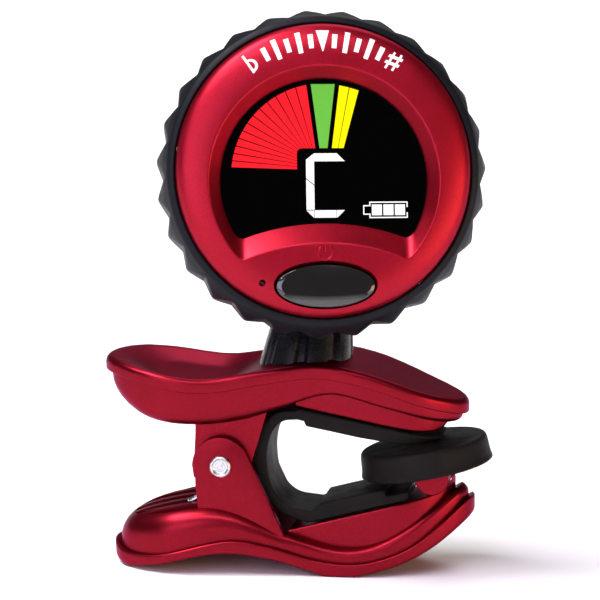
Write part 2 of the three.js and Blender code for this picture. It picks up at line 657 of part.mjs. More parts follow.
function insidePieces(parent) {
  const notches = POSTS.map(([x, y]) => rod(x, y, POST_RADIUS + GAP, -1, 3, 16));
  const board = rod(0, 0, 18.4, 0.6, 1.6, 32).subtract(join(...notches));
  piece(parent, "main_board", board, BOARD);
  piece(parent, "lcd_backlight", box(-12, 12, -9.4, 10.2, 1.9, 2.8), WHITE);
  piece(parent, "lcd_panel", box(-12.2, 12.2, -9.6, 10.4, 3.1, 5.2), GLASS);
  piece(parent, "tuner_chip", box(-12.5, -7, -8, -2.5, -0.7, 0.3), PLASTIC);
  piece(parent, "microphone", rod(-8, -14.6, 1.4, 1.9, 4.9, 16), STEEL);
  piece(parent, "tact_switch", box(-2, 2, -17.4, -13.4, 1.9, 3.2), PLASTIC);
  piece(parent, "switch_body", box(7.6, 13.4, -9.2, -5.8, -3.7, 0.3), STEEL);
  piece(parent, "piezo_disc", rod(0, -11, 5.5, -4.6, -4.2, 28), BRASS);
  const cell = rod(0, CELL.y, CELL.radius, CELL.bottom, CELL.bottom + CELL.height, 32);
  piece(parent, "coin_cell", cell, STEEL);
  const leaf = box(-6, 6, CELL.y - 1.5, CELL.y + 1.5, -1, -0.6)
    .add(box(4.6, 6, CELL.y - 1.5, CELL.y + 1.5, -1, 0.3));
  piece(parent, "negative_contact", leaf, BRASS);
  const clip = box(-11.1, -10.4, CELL.y - 2, CELL.y + 2, -4.2, 0.3)
    .add(box(-12.6, -10.4, CELL.y - 2, CELL.y + 2, -0.1, 0.3));
  piece(parent, "positive_contact", clip, BRASS);
}

// ---- Head: ball socket on the back

function socketPieces(parent) {
  const { x, y, z } = BALL_IN_HEAD;
  const liner = { inside: BALL_RADIUS + GAP, outside: BALL_RADIUS + GAP + 0.5 };
  const cavity = new THREE.SphereGeometry(liner.outside + GAP, 20, 12).translate(x, y, z);
  const cup = join(
    rod(x, y, 6.1, z + 1, BACK_FACE - GAP, 24),
    solid(new THREE.SphereGeometry(6.1, 24, 14).translate(x, y, z + 1)).intersect(
      box(x - 9, x + 9, y - 9, y + 9, z - 9, BACK_FACE - GAP - 0.5),
    ),
  );
  // The mouth is a wedge that lets the neck's stem swing fore and aft.
  const [front, back] = [degrees(-30), degrees(64)];
  const ray = (angle) => [-9 * Math.cos(angle), -9 * Math.sin(angle)];
  const wedge = polygon([[0, 0], ray(front), ray(degrees(MOUTH_LEAN)), ray(back)]);
  const mouth = new THREE.ExtrudeGeometry(wedge, { depth: 6.8, bevelEnabled: false });
  const turn = new THREE.Matrix4().makeBasis(
    new THREE.Vector3(0, 1, 0), new THREE.Vector3(0, 0, 1), new THREE.Vector3(1, 0, 0),
  );
  mouth.translate(0, 0, -3.4).applyMatrix4(turn).translate(x, y, z);
  const socket = cup.subtract(solid(cavity)).subtract(solid(mouth));
  piece(parent, "ball_socket", socket, PLASTIC);

  const { inside, outside } = liner;
  const rim = degrees(82);
  const shellArc = (radius, from, to) =>
    arc(0, 0, radius, from, to, 5).map((p) => [p.x, p.y]);
  const cap = turned([
    ...shellArc(outside, Math.PI / 2 - rim, Math.PI / 2),
    ...shellArc(inside, Math.PI / 2, Math.PI / 2 - rim),
    [outside * Math.sin(rim), outside * Math.cos(rim)],
  ], 20);
  const turnedCap = cap.rotate([MOUTH_LEAN - 90, 0, 0]).translate([x, y, z]);
  piece(parent, "socket_liner", turnedCap, NYLON);
}

// ---- Assembly

function buildTuner() {
  const standing = new THREE.Group();
  upperLever(standing);
  lowerLever(standing);
  clipRivet(standing);
  pivotBush(standing);
  torsionSpring(standing);
  jawLinerUpper(standing);
  jawLinerLower(standing);
  rockerPieces(standing);

  const head = new THREE.Group();
  head.position.copy(HEAD_CENTRE);
  head.rotation.copy(HEAD_ATTITUDE);
  head.updateMatrix();
  standing.add(head);
  neckPieces(standing, BALL_IN_HEAD.clone().applyMatrix4(head.matrix));
  casePieces(head);
  insidePieces(head);
  socketPieces(head);

  // Upright, then centred over the origin with its lowest point on the ground.
  const tuner = new THREE.Group();
  standing.rotation.x = Math.PI / 2;
  tuner.add(standing);
  const bounds = new THREE.Box3().setFromObject(tuner, true);
  const centre = bounds.getCenter(new THREE.Vector3());
  standing.position.set(-centre.x, -centre.y, -bounds.min.z);
  return tuner;
}

export default buildTuner();
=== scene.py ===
"""Looks for the clip-on tuner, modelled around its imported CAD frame.

Each piece is modelled in millimetres in the drawing space of its group and then placed:
CLIP  x along the clip, y up, z out of the display side
HEAD  origin on the head's axis, x to the right, y up, z out of the display
NECK  origin on the neck's seat, y along the swivel axis, z out of the display side
"""
import json
import math

import bmesh
import bpy
import numpy as np
from mathutils import Matrix, Vector


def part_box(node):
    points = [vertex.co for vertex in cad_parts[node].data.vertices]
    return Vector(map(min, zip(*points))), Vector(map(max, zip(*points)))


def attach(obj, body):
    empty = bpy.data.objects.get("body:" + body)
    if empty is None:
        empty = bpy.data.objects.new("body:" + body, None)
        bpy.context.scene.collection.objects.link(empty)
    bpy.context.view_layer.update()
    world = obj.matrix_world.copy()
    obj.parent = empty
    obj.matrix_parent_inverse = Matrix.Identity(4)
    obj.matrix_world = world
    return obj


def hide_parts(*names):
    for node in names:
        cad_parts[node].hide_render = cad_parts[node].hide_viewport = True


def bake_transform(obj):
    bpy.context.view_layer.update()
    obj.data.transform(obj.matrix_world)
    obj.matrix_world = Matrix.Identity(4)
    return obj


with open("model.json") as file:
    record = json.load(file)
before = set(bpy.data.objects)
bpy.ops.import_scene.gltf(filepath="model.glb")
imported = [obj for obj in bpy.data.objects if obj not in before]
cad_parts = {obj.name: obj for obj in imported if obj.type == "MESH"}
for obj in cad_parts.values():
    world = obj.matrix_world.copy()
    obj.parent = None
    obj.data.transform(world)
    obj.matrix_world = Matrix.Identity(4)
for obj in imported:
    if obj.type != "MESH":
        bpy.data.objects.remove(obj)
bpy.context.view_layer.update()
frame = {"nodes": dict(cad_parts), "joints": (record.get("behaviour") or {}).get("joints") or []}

MM = 0.001
JOINTS = {joint["name"]: joint for joint in frame["joints"]}


def axes(x, y, z):
    """A rotation whose columns are the three directions."""
    return Matrix((x, y, z)).transposed().to_4x4()


def middle(node):
    low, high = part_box(node)
    return (low + high) / 2


PIVOT = (-10.16, 15.5)
BALL_IN_HEAD = Vector((0.4, -11, -12))
SCALE = Matrix.Scale(MM, 4)
STANDING = axes(Vector((1, 0, 0)), Vector((0, 0, 1)), Vector((0, -1, 0)))
CLIP = Matrix.Translation(middle("clip_rivet")) @ STANDING @ SCALE
CLIP = CLIP @ Matrix.Translation((-PIVOT[0], -PIVOT[1], 0))

BALL = Vector(JOINTS["head_tilt"]["pos_m"])
HEAD_RIGHT = Vector(JOINTS["mode_slide"]["axis"])
HEAD_OUT = -Vector(JOINTS["button_press"]["axis"])
HEAD = Matrix.Translation(BALL) @ axes(HEAD_RIGHT, HEAD_OUT.cross(HEAD_RIGHT), HEAD_OUT)
HEAD = HEAD @ SCALE @ Matrix.Translation(-BALL_IN_HEAD)

SWIVEL = Vector(JOINTS["neck_swivel"]["axis"])
SWIVEL_OUT = Vector((0, -1, 0))
NECK = Matrix.Translation(JOINTS["neck_swivel"]["pos_m"])
NECK = NECK @ axes(SWIVEL.cross(SWIVEL_OUT), SWIVEL, SWIVEL_OUT) @ SCALE
BALL_IN_NECK = NECK.inverted() @ BALL


# ---------------- curves

STEPS = 24


def smooth_through(knots, closed=False, steps=STEPS):
    """A centripetal Catmull-Rom curve through the knots, as points."""
    p = np.array(knots, float)
    if closed:
        p = np.vstack([p[-1], p, p[0], p[1]])
    else:
        p = np.vstack([2 * p[0] - p[1], p, 2 * p[-1] - p[-2]])
    points = []
    t = np.linspace(0, 1, steps, endpoint=False)[:, None]
    for a, b, c, d in zip(p[:-3], p[1:-2], p[2:-1], p[3:]):
        ab, bc, cd = (max(np.linalg.norm(v), 1e-9) ** 0.5 for v in (b - a, c - b, d - c))
        start = ((b - a) / ab - (c - a) / (ab + bc) + (c - b) / bc) * bc
        end = ((c - b) / bc - (d - b) / (bc + cd) + (d - c) / cd) * bc
        bend = (2 * b - 2 * c + start + end) * t**3 + (-3 * b + 3 * c - 2 * start - end) * t**2
        points.append(bend + start * t + b)
    if not closed:
        points.append(p[-2][None])
    return np.vstack(points)


def height(knots):
    """The smooth curve through knots running from left to right, as a function y(x)."""
    curve = smooth_through(knots)
    return lambda x: np.interp(x, curve[:, 0], curve[:, 1])


def straight(knots):
    """The straight lines through the knots, as a function y(x)."""
    xs, ys = np.array(knots, float).T
    return lambda x: np.interp(x, xs, ys)


def inset(outline, distance):
    """A closed plan outline moved inwards, by one distance or one for each point."""
    tangent = np.roll(outline, -1, axis=0) - np.roll(outline, 1, axis=0)
    tangent /= np.linalg.norm(tangent, axis=1)[:, None]
    normal = np.column_stack([-tangent[:, 1], tangent[:, 0]])
    return outline + normal * np.broadcast_to(distance, len(outline))[:, None]


def walked(path, shares):
    """The points at the given shares of a path's length."""
    run = np.concatenate([[0], np.cumsum(np.linalg.norm(np.diff(path, axis=0), axis=1))])
    return np.column_stack([np.interp(shares * run[-1], run, path[:, i]) for i in range(2)])


def both_halves(half, count):
    """A closed outline from its lower half, drawn from left to right, and its mirror image."""
    lower = walked(half, np.linspace(0, 1, count // 2 + 1))
    lower[[0, -1], 1] = 0
    return np.vstack([lower, (lower * (1, -1))[-2:0:-1]])


def plan(half_widths):
    """A closed plan outline from (x, half width) knots, counter-clockwise."""
    lower = [(x, -z) for x, z in half_widths]
    loop = smooth_through(lower + half_widths[-2:0:-1], closed=True)
    return both_halves(loop[:STEPS * (len(lower) - 1) + 1], 220)


def arc(x, y, radius, start, end, count):
    angle = np.radians(np.linspace(start, end, count))
    return np.column_stack([x + radius * np.cos(angle), y + radius * np.sin(angle)])


def polar(radius, degrees):
    turn = math.radians(degrees)
    return (radius * math.cos(turn), radius * math.sin(turn))


def eased(low, high, x):
    """0 below low, 1 above high, and a smooth step between them."""
    t = np.clip((np.asarray(x, float) - low) / (high - low), 0, 1)
    return t * t * (3 - 2 * t)


# ---------------- meshes, in millimetres

def raw(verts, faces):
    """A working object with its faces turned outwards."""
    mesh = bpy.data.meshes.new("work")
    mesh.from_pydata([tuple(map(float, v)) for v in verts], [], faces)
    grid = bmesh.new()
    grid.from_mesh(mesh)
    bmesh.ops.remove_doubles(grid, verts=grid.verts, dist=1e-4)
    bmesh.ops.dissolve_degenerate(grid, edges=grid.edges, dist=1e-5)
    bmesh.ops.recalc_face_normals(grid, faces=grid.faces)
    grid.to_mesh(mesh)
    grid.free()
    obj = bpy.data.objects.new("work", mesh)
    bpy.context.scene.collection.objects.link(obj)
    return obj


def level(flat, z):
    """Plan points at a height z, or at one height for each."""
    return np.column_stack([flat, np.broadcast_to(z, len(flat))])


def skin(rings, capped=True):
    """Quads between rings of equal length; the first and last ring are closed over."""
    count = len(rings[0])
    verts = np.vstack(rings)
    faces = []
    for k in range(len(rings) - 1):
        for i in range(count):
            j = (i + 1) % count
            faces.append((k * count + i, k * count + j, (k + 1) * count + j, (k + 1) * count + i))
    if capped:
        last = (len(rings) - 1) * count
        faces += [tuple(range(count))[::-1], tuple(range(last, last + count))]
    return raw(verts, faces)


def closed_skin(rings):
    """Quads between rings, and from the last ring back to the first."""
    return skin(list(rings) + [rings[0]], capped=False)


def lathe(profile, sides=96):
    """A profile of (radius, z) points turned round z. A profile off the axis closes on itself."""
    angle = np.linspace(0, 2 * math.pi, sides, endpoint=False)
    circle = np.column_stack([np.cos(angle), np.sin(angle)])
    rings = [level(radius * circle, z) for radius, z in profile]
    on_axis = profile[0][0] < 1e-6 and profile[-1][0] < 1e-6
    return skin(rings, capped=False) if on_axis else closed_skin(rings)


def turned(start, corner, end, steps):
    """The points of a curve that rounds a corner off."""
    return [(1 - t) ** 2 * start + 2 * t * (1 - t) * corner + t * t * end
            for t in np.linspace(0, 1, steps + 1)]


def rounded(profile, radius, steps):
    """A profile with each of its inner corners rounded off."""
    p = [np.array(q, float) for q in profile]
    out = [p[0]]
    for before, corner, after in zip(p[:-2], p[1:-1], p[2:]):
        back, forth = before - corner, after - corner
        reach = min(radius, 0.45 * np.linalg.norm(back), 0.45 * np.linalg.norm(forth))
        start, end = (corner + side / np.linalg.norm(side) * reach for side in (back, forth))
        out += turned(start, corner, end, steps)
    return out + [p[-1]]


def plate(outline, near, far, edge):
    """An outline in x and y with a thickness in z and softened edges."""
    levels = [(near, edge), (near + 0.3 * edge, 0.3 * edge), (near + edge, 0),
              (far - edge, 0), (far - 0.3 * edge, 0.3 * edge), (far, edge)]
    return skin([level(inset(outline, inward), z) for z, inward in levels])


def block(low, high, edge=0.0):
    """A box, its edges softened where an edge size is given."""
    obj = raw([(x, y, z) for x in (low[0], high[0]) for y in (low[1], high[1])
               for z in (low[2], high[2])],
              [(0, 1, 3, 2), (4, 6, 7, 5), (0, 4, 5, 1), (2, 3, 7, 6), (0, 2, 6, 4), (1, 5, 7, 3)])
    return bevelled(obj, edge) if edge else obj


def bevelled(obj, size, segments=3):
    """Rounds the edges where faces meet at more than 30 degrees."""
    change = obj.modifiers.new("bevel", "BEVEL")
    change.width = size
    change.segments = segments
    change.limit_method = "ANGLE"
    change.angle_limit = math.radians(30)
    return baked(obj)


def bar(x, y, radius, near, far, sides, edge=0.0):
    """A round bar along z, its ends chamfered where an edge size is given."""
    steps = [(0, near), (radius - edge, near), (radius, near + edge),
             (radius, far - edge), (radius - edge, far), (0, far)]
    return shifted(lathe(steps, sides), x, y)


def moved(obj, matrix):
    obj.data.transform(matrix)
    return obj


def shifted(obj, x, y, z=0):
    return moved(obj, Matrix.Translation((x, y, z)))


def baked(obj):
    """Applies the object's modifiers."""
    bpy.context.view_layer.update()
    shaped = bpy.data.meshes.new_from_object(obj.evaluated_get(bpy.context.evaluated_depsgraph_get()))
    obj.modifiers.clear()
    obj.data = shaped
    return obj


def combined(obj, others, operation):
    for other in others:
        change = obj.modifiers.new("boolean", "BOOLEAN")
        change.object = other
        change.operation = operation
        change.solver = "EXACT"
        baked(obj)
        bpy.data.objects.remove(other)
    return obj


def united(obj, *others):
    return combined(obj, others, "UNION")


def cut(obj, *others):
    return combined(obj, others, "DIFFERENCE")


def gathered(objects):
    """Several bodies as one mesh."""
    grid = bmesh.new()
    for obj in objects:
        grid.from_mesh(obj.data)
        bpy.data.objects.remove(obj)
    whole = raw([], [])
    grid.to_mesh(whole.data)
    grid.free()
    return whole


def mirrored(obj):
    """The body and its mirror image across z = 0."""
    twin = obj.copy()
    twin.data = obj.data.copy()
    bpy.context.scene.collection.objects.link(twin)
    twin.data.transform(Matrix.Scale(-1, 4, (0, 0, 1)))
    twin.data.flip_normals()
    return gathered([obj, twin])


def swept(path, radius, sides=12):
    """A round wire along a path of points, with a rounded end at each end."""
    path = np.array(path, float)
    tangent = np.gradient(path, axis=0)
    tangent /= np.linalg.norm(tangent, axis=1)[:, None]
    side = np.cross(tangent[0], (0.3, 0.5, 0.8))
    angle = np.linspace(0, 2 * math.pi, sides, endpoint=False)
    rings = []
    for k, (point, along) in enumerate(zip(path, tangent)):
        side = side - along * np.dot(side, along)
        side /= np.linalg.norm(side)
        other = np.cross(along, side)
        ends = [(0.0, 1.0)]
        if k == 0:
            ends = [(-1.0, 0.3), (-0.7, 0.75), (0.0, 1.0)]
        elif k == len(path) - 1:
            ends = [(0.0, 1.0), (0.7, 0.75), (1.0, 0.3)]
        for ahead, share in ends:
            at = point + along * ahead * radius * 0.6
            rim = radius * share * (np.outer(np.cos(angle), side) + np.outer(np.sin(angle), other))
            rings.append(at + rim)
    return skin(rings)


# the angle in degrees above which an edge stays sharp, where it is not the usual one
SHARP_ABOVE = {"toothed_bumper": 30}
USUALLY_SHARP_ABOVE = 38


def finished(obj, name, place, body, look, slot, *stands_for):
    """Places a piece, gives it its material, hides the CAD nodes it stands for and hangs it on its body, if
    it has one.
    """
    obj.name = obj.data.name = name
    obj.data.transform(place)
    obj.data.materials.clear()
    obj.data.materials.append(look)
    obj.data.polygons.foreach_set("material_index", np.zeros(len(obj.data.polygons), np.int32))
    obj.data.shade_smooth()
    obj.data.set_sharp_from_angle(angle=math.radians(SHARP_ABOVE.get(name, USUALLY_SHARP_ABOVE)))
    if stands_for:
        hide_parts(*stands_for)
    if body:
        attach(obj, body)
    return obj


def finished_all(place, rows):
    """Makes the pieces in rows of (maker, name, body, look, slot, CAD nodes it stands for); the slot is not
    used.
    """
    return {name: finished(make(), name, place, *rest) for make, name, *rest in rows}


# ---------------- materials

class Look:
    """A material or a world being made: its nodes, and short ways to add and join them."""

    def __init__(self, owner, shader="Principled BSDF"):
        owner.use_nodes = True
        self.owner = owner
        self.nodes, self.links = owner.node_tree.nodes, owner.node_tree.links
        self.shader = self.nodes[shader]

    def set(self, node=None, **sockets):
        """Sets the shader's or a node's sockets; a name is written with _ for each space."""
        for name, value in sockets.items():
            (node or self.shader).inputs[name.replace("_", " ")].default_value = value

    def feed(self, socket, source):
        self.links.new(source, self.shader.inputs[socket])

    def add(self, kind, place=None, **sockets):
        """A new node laid out by place, which is the object's own space if not given."""
        node = self.nodes.new("ShaderNode" + kind)
        self.set(node, **sockets)
        if place is None:
            place = self.nodes.new("ShaderNodeTexCoord").outputs["Object"]
        self.links.new(place, node.inputs["Vector"])
        return node

    def noise(self, scale, detail=3.0, roughness=0.55):
        return self.add("TexNoise", Scale=scale, Detail=detail, Roughness=roughness).outputs["Fac"]

    def colour(self, source, *stops, socket="Base Color"):
        """Colours a socket by a texture's value; each stop is (value, colour)."""
        band = self.nodes.new("ShaderNodeValToRGB")
        elements = band.color_ramp.elements
        while len(elements) < len(stops):
            elements.new(0.5)
        for element, (value, tint) in zip(elements, stops):
            element.position = value
            element.color = (*tint, 1)
        self.links.new(source, band.inputs["Fac"])
        self.feed(socket, band.outputs["Color"])

    def grade(self, socket, source, was, now):
        """Feeds a socket a value whose range was is moved to the range now."""
        stretch = self.nodes.new("ShaderNodeMapRange")
        self.set(stretch, From_Min=was[0], From_Max=was[1], To_Min=now[0], To_Max=now[1])
        self.links.new(source, stretch.inputs["Value"])
        self.feed(socket, stretch.outputs["Result"])

    def rough(self, source, low, high):
        """Roughness from low to high over the middle values of a texture."""
        self.grade("Roughness", source, (0.3, 0.7), (low, high))

    def bump(self, source, depth, strength):
        relief = self.nodes.new("ShaderNodeBump")
        self.set(relief, Distance=depth, Strength=strength)
        self.links.new(source, relief.inputs["Height"])
        self.feed("Normal", relief.outputs["Normal"])


def new_look(name):
    return Look(bpy.data.materials.new(name))


def shade(colour, share):
    return tuple(c * share for c in colour)


def metallic_paint(name, colour, roughness, coat):
    """Satin metallic paint: fine flakes, faint clouding and a soft clear coat."""
    look = new_look(name)
    look.colour(look.noise(5200, 2), (0.3, shade(colour, 0.82)), (0.5, colour), (0.75, shade(colour, 1.18)))
    look.rough(look.noise(260, 4), roughness - 0.03, roughness + 0.04)
    look.bump(look.noise(3800), 0.000012, 0.35)
    look.set(Metallic=0.95, Specular_Tint=(0.7, 0.42, 0.55, 1), Coat_Weight=coat, Coat_Roughness=0.3)
    return look.owner


def rubber(name, colour, roughness, level, grain=2600, depth=0.00003):
    """Moulded rubber: matte, very finely pitted, with paler dusty patches."""
    look = new_look(name)
    look.colour(look.noise(190, 5, 0.6),
                (0.3, shade(colour, 0.8)), (0.55, colour), (0.8, shade(colour, 1.5)))
    look.rough(look.noise(420), roughness - 0.06, roughness + 0.08)
    look.bump(look.noise(grain, 4), depth, 0.5)
    look.set(Specular_IOR_Level=level)
    return look.owner


def moulded(name, colour, roughness, level=0.5, grain=3200, depth=0.00002):
    """Moulded plastic with a spark-eroded grain."""
    look = new_look(name)
    look.colour(look.noise(320, 4), (0.3, shade(colour, 0.88)), (0.7, shade(colour, 1.14)))
    look.rough(look.noise(700), roughness - 0.05, roughness + 0.06)
    look.bump(look.noise(grain, 2), depth, 0.4)
    look.set(Specular_IOR_Level=level)
    return look.owner


def polished(name, colour, level=0.5, roughness=0.04):
    """Polished plastic with the faintest haze and moulding ripple."""
    look = new_look(name)
    look.rough(look.noise(500, 5), roughness, roughness + 0.05)
    look.colour(look.noise(240), (0.3, shade(colour, 0.8)), (0.7, colour))
    look.bump(look.noise(90, 1), 0.00002, 0.15)
    look.set(Specular_IOR_Level=level)
    return look.owner


def metal(name, colour, roughness, along=1):
    """Bright metal with fine drawn scratches along one of the axes x, y and z."""
    look = new_look(name)
    across, lengthwise = 2400.0, 120.0
    scale = [across] * 3
    scale[along] = lengthwise
    stretch = look.add("Mapping", Scale=scale)
    scratches = look.add("TexNoise", stretch.outputs["Vector"], Scale=1.0, Detail=4.0).outputs["Fac"]
    look.rough(scratches, roughness - 0.08, roughness + 0.12)
    look.colour(scratches, (0.3, shade(colour, 0.9)), (0.7, colour))
    look.bump(scratches, 0.00001, 0.3)
    look.set(Metallic=1.0)
    return look.owner


def turned_metal(name, colour, centre):
    """Bright metal faced on a lathe: fine rings round an axis along Y."""
    look = new_look(name)
    shift = look.add("Mapping", Location=[-c for c in centre])
    rings = look.add("TexWave", shift.outputs["Vector"], Scale=900.0, Distortion=0.6, Detail=2.0)
    rings.wave_type = "RINGS"
    rings.rings_direction = "Y"
    look.colour(rings.outputs["Fac"], (0.2, shade(colour, 0.78)), (0.8, colour))
    look.rough(look.noise(1500), 0.22, 0.36)
    look.bump(rings.outputs["Fac"], 0.00002, 0.6)
    look.set(Metallic=1.0)
    return look.owner


def lit_segment(name, colour):
    """A lit display segment, with the fine dot pattern of its colour filter."""
    look = new_look(name)
    dots = look.add("TexVoronoi", Scale=5200.0).outputs["Distance"]
    look.colour(dots, (0.0, colour), (0.9, shade(colour, 0.9)), socket="Emission Color")
    look.set(Base_Color=(*shade(colour, 0.25), 1), Emission_Strength=0.85, Roughness=0.35,
             Specular_IOR_Level=0.1)
    return look.owner


def printed(name, colour):
    """Screen-printed ink: slightly uneven and matte."""
    look = new_look(name)
    uneven = look.noise(2200)
    look.colour(uneven, (0.25, shade(colour, 0.94)), (0.7, colour))
    look.bump(uneven, 0.000008, 0.4)
    look.set(Roughness=0.45)
    return look.owner


def circuit_board(name):
    """Green solder mask with darker traces under it."""
    look = new_look(name)
    traces = look.add("TexBrick", Scale=420.0, Mortar_Size=0.03, Color1=(0.02, 0.16, 0.07, 1),
                      Color2=(0.03, 0.2, 0.09, 1), Mortar=(0.08, 0.34, 0.16, 1))
    look.feed("Base Color", traces.outputs["Color"])
    look.bump(traces.outputs["Fac"], 0.00003, 0.4)
    look.set(Roughness=0.35)
    return look.owner


LEVER_RED = metallic_paint("lever_red", (0.2, 0.004, 0.012), 0.34, 0.07)
BEZEL_RED = metallic_paint("bezel_red", (0.30, 0.0062, 0.018), 0.42, 0.1)
LINER_BLACK = rubber("liner_black", (0.0052, 0.0043, 0.0039), 0.58, 0.11)
BUMPER_BLACK = rubber("bumper_black", (0.0036, 0.0046, 0.0068), 0.46, 0.12, grain=3400, depth=0.00002)
NECK_BLACK = moulded("neck_black", (0.006, 0.0065, 0.0075), 0.27, 0.42, depth=0.000004)
SHELL_BLACK = moulded("shell_black", (0.016, 0.017, 0.019), 0.48, grain=2400, depth=0.00004)
LENS_BLACK = polished("lens_black", (0.0006, 0.0006, 0.0007), level=0.05)
BUTTON_BLACK = polished("button_black", (0.006, 0.0055, 0.0055), level=0.95, roughness=0.05)
RIVET_METAL = turned_metal("rivet_metal", (0.60, 0.61, 0.62), middle("clip_rivet"))
SPRING_STEEL = metal("spring_steel", (0.7, 0.71, 0.73), 0.22)
STEEL = metal("steel", (0.62, 0.63, 0.65), 0.3)
CELL_STEEL = metal("cell_steel", (0.62, 0.63, 0.65), 0.26, along=0)
BRASS = metal("brass", (0.72, 0.52, 0.22), 0.32, along=0)
NYLON = moulded("nylon", (0.62, 0.6, 0.54), 0.45)
WHITE = moulded("diffuser_white", (0.75, 0.78, 0.8), 0.5)
LCD = polished("lcd_dark", (0.02, 0.022, 0.026))
BOARD = circuit_board("board_green")
PRINT_WHITE = printed("print_white", (0.86, 0.86, 0.86))


# ---------------- clip levers

UPPER_CREST = height([
    (-28.1, 30.2), (-24.5, 30), (-12.5, 28.45), (-4, 29.75),
    (4, 30.65), (10.4, 29.6), (19.4, 26.4), (24.4, 24.9),
])
UPPER_BELLY = height([
    (-27.1, 28.4), (-26.4, 25.4), (-22, 22.45), (-14, 21.4), (-7, 22.2),
    (-1.5, 24.15), (5.6, 26.2), (12.6, 24.5), (20.7, 22.1), (23.6, 21.7),
])
UPPER_PLAN = [
    (-28.1, 0), (-27.3, 4), (-24, 8.3), (-18, 11.1), (-8, 10.3),
    (2, 8.9), (10.4, 8.6), (19.4, 6.5), (23.5, 3.2), (24.4, 0),
]
LOWER_KEEL = straight(np.vstack([
    smooth_through([(-26.9, 1.5), (-26.2, 0.3), (-24.6, 0), (-21.1, 0.7), (-10, 3.15),
                    (-3.1, 2.4), (4.8, 0)]),
    smooth_through([(9.2, 0), (15, 1.6), (19.6, 3.9), (25.3, 8.4)]),
]))
LOWER_RIM = height([
    (-26.8, 3.2), (-25.6, 2.5), (-20, 2.6), (-8.5, 5.1), (-3.1, 4.3),
    (3.4, 2.4), (8.6, 1.9), (12.8, 2.6), (17.4, 4.6), (24.8, 10.9),
])
LOWER_BELLY = height([
    (-26.5, 2.8), (-26, 5.3), (-23, 7.3), (-12.8, 9.6), (-8.7, 9.1), (-1.2, 6.05),
    (6.8, 3.9), (11.4, 4.4), (16, 6.75), (19.4, 9.35), (23.3, 12.4),
])
LOWER_PLAN = [
    (-26.9, 0), (-26.2, 4), (-24, 7.4), (-18, 10.8), (-8, 10.3),
    (2, 8.9), (10.4, 8.4), (19.4, 6.4), (24.3, 3.2), (25.3, 0),
]
RIM = 2.0
BELLY_INSET = 0.9
EAR_RADIUS = 4.15
EAR = 1.2
UPPER_EAR = 5.4
LOWER_EAR = 6.9
WEB = 6.0
ROCKER = (19.7, 14.0)
# where the rings across a face lie, from its edge at 0 to its middle line at 1
FILL = (0.1, 0.22, 0.36, 0.52, 0.7, 0.86, 1.0)


def level_ring(flat, y):
    return np.column_stack([flat[:, 0], y, flat[:, 1]])


def pillow(outline, top, bottom, top_round, bottom_round, hollow=None, ends=(9, 8)):
    """A closed body over a plan outline (x, z), between the faces top(x) and bottom(x).

    Its edges are rounded by radii that may vary along x, and hollow(x, t) lowers the upper
    face at a share t of the way in from the edge.
    """
    room = np.maximum(top(outline[:, 0]) - bottom(outline[:, 0]), 0.02)
    upper = np.minimum(top_round(outline[:, 0]), 0.48 * room)
    lower = np.minimum(bottom_round(outline[:, 0]), 0.48 * room)
    spine = (outline[:, 0].min() + ends[0], outline[:, 0].max() - ends[1])

    def inwards(flat, t):
        to = np.column_stack([np.clip(flat[:, 0], *spine), np.zeros(len(flat))])
        return flat + (to - flat) * t

    def face(curve, radius, side, steps, hollow=None):
        """Rings from the middle of a face out to the body's widest line."""
        rings = []
        edge = inset(outline, radius)
        for t in reversed(FILL):
            flat = inwards(edge, t)
            drop = hollow(flat[:, 0], t) if hollow else 0
            rings.append(level_ring(flat, curve(flat[:, 0]) - drop))
        for turn in np.radians(np.linspace(0, 90, steps)):
            flat = inset(outline, radius * (1 - math.sin(turn)))
            rings.append(level_ring(flat, curve(flat[:, 0]) - side * radius * (1 - math.cos(turn))))
        return rings

    return skin(face(top, upper, 1, 7, hollow) + face(bottom, lower, -1, 9)[::-1], capped=False)


def always(value):
    return lambda x: np.full(np.shape(x), float(value))


def grading(left, right, start, end):
    """A size that is left before start and right after end."""
    return lambda x: left + (right - left) * eased(start, end, x)


def lowered(curve, by):
    return lambda x: curve(x) - by


def web_plan(half_widths):
    """The plan of a jaw's inner web: square at the back and rounded at the tip."""
    side = smooth_through([(x, -z) for x, z in half_widths], steps=10)
    return both_halves(np.vstack([[(half_widths[0][0], 0)], side]), 140)


def grip_lanes(outline, low, high, right):
    """Lengthwise pockets with ribs between them, kept inside the grip's wall."""
    lanes = []
    for lane in range(5):
        z = (lane - 2) * 3.5
        lanes.append(block((-26.5, low, z - 1.1), (right, high, z + 1.1), 0.25))
    room = pillow(inset(outline, 2.8), always(high - 0.01), always(low + 0.01), always(0.3), always(0.3))
    cutters = gathered(lanes)
    return combined(cutters, [room], "INTERSECT")


def spoon(x, t):
    """How deep the thumb's dish is at a share t of the way in from the lever's edge."""
    reach = eased(-28, -17, x) * (1 - eased(-13, -2.5, x))
    return 1.75 * reach * (1 - (1 - t) ** 2)


def ear(outline, inside):
    return mirrored(plate(np.array(outline), inside, inside + EAR, 0.14))


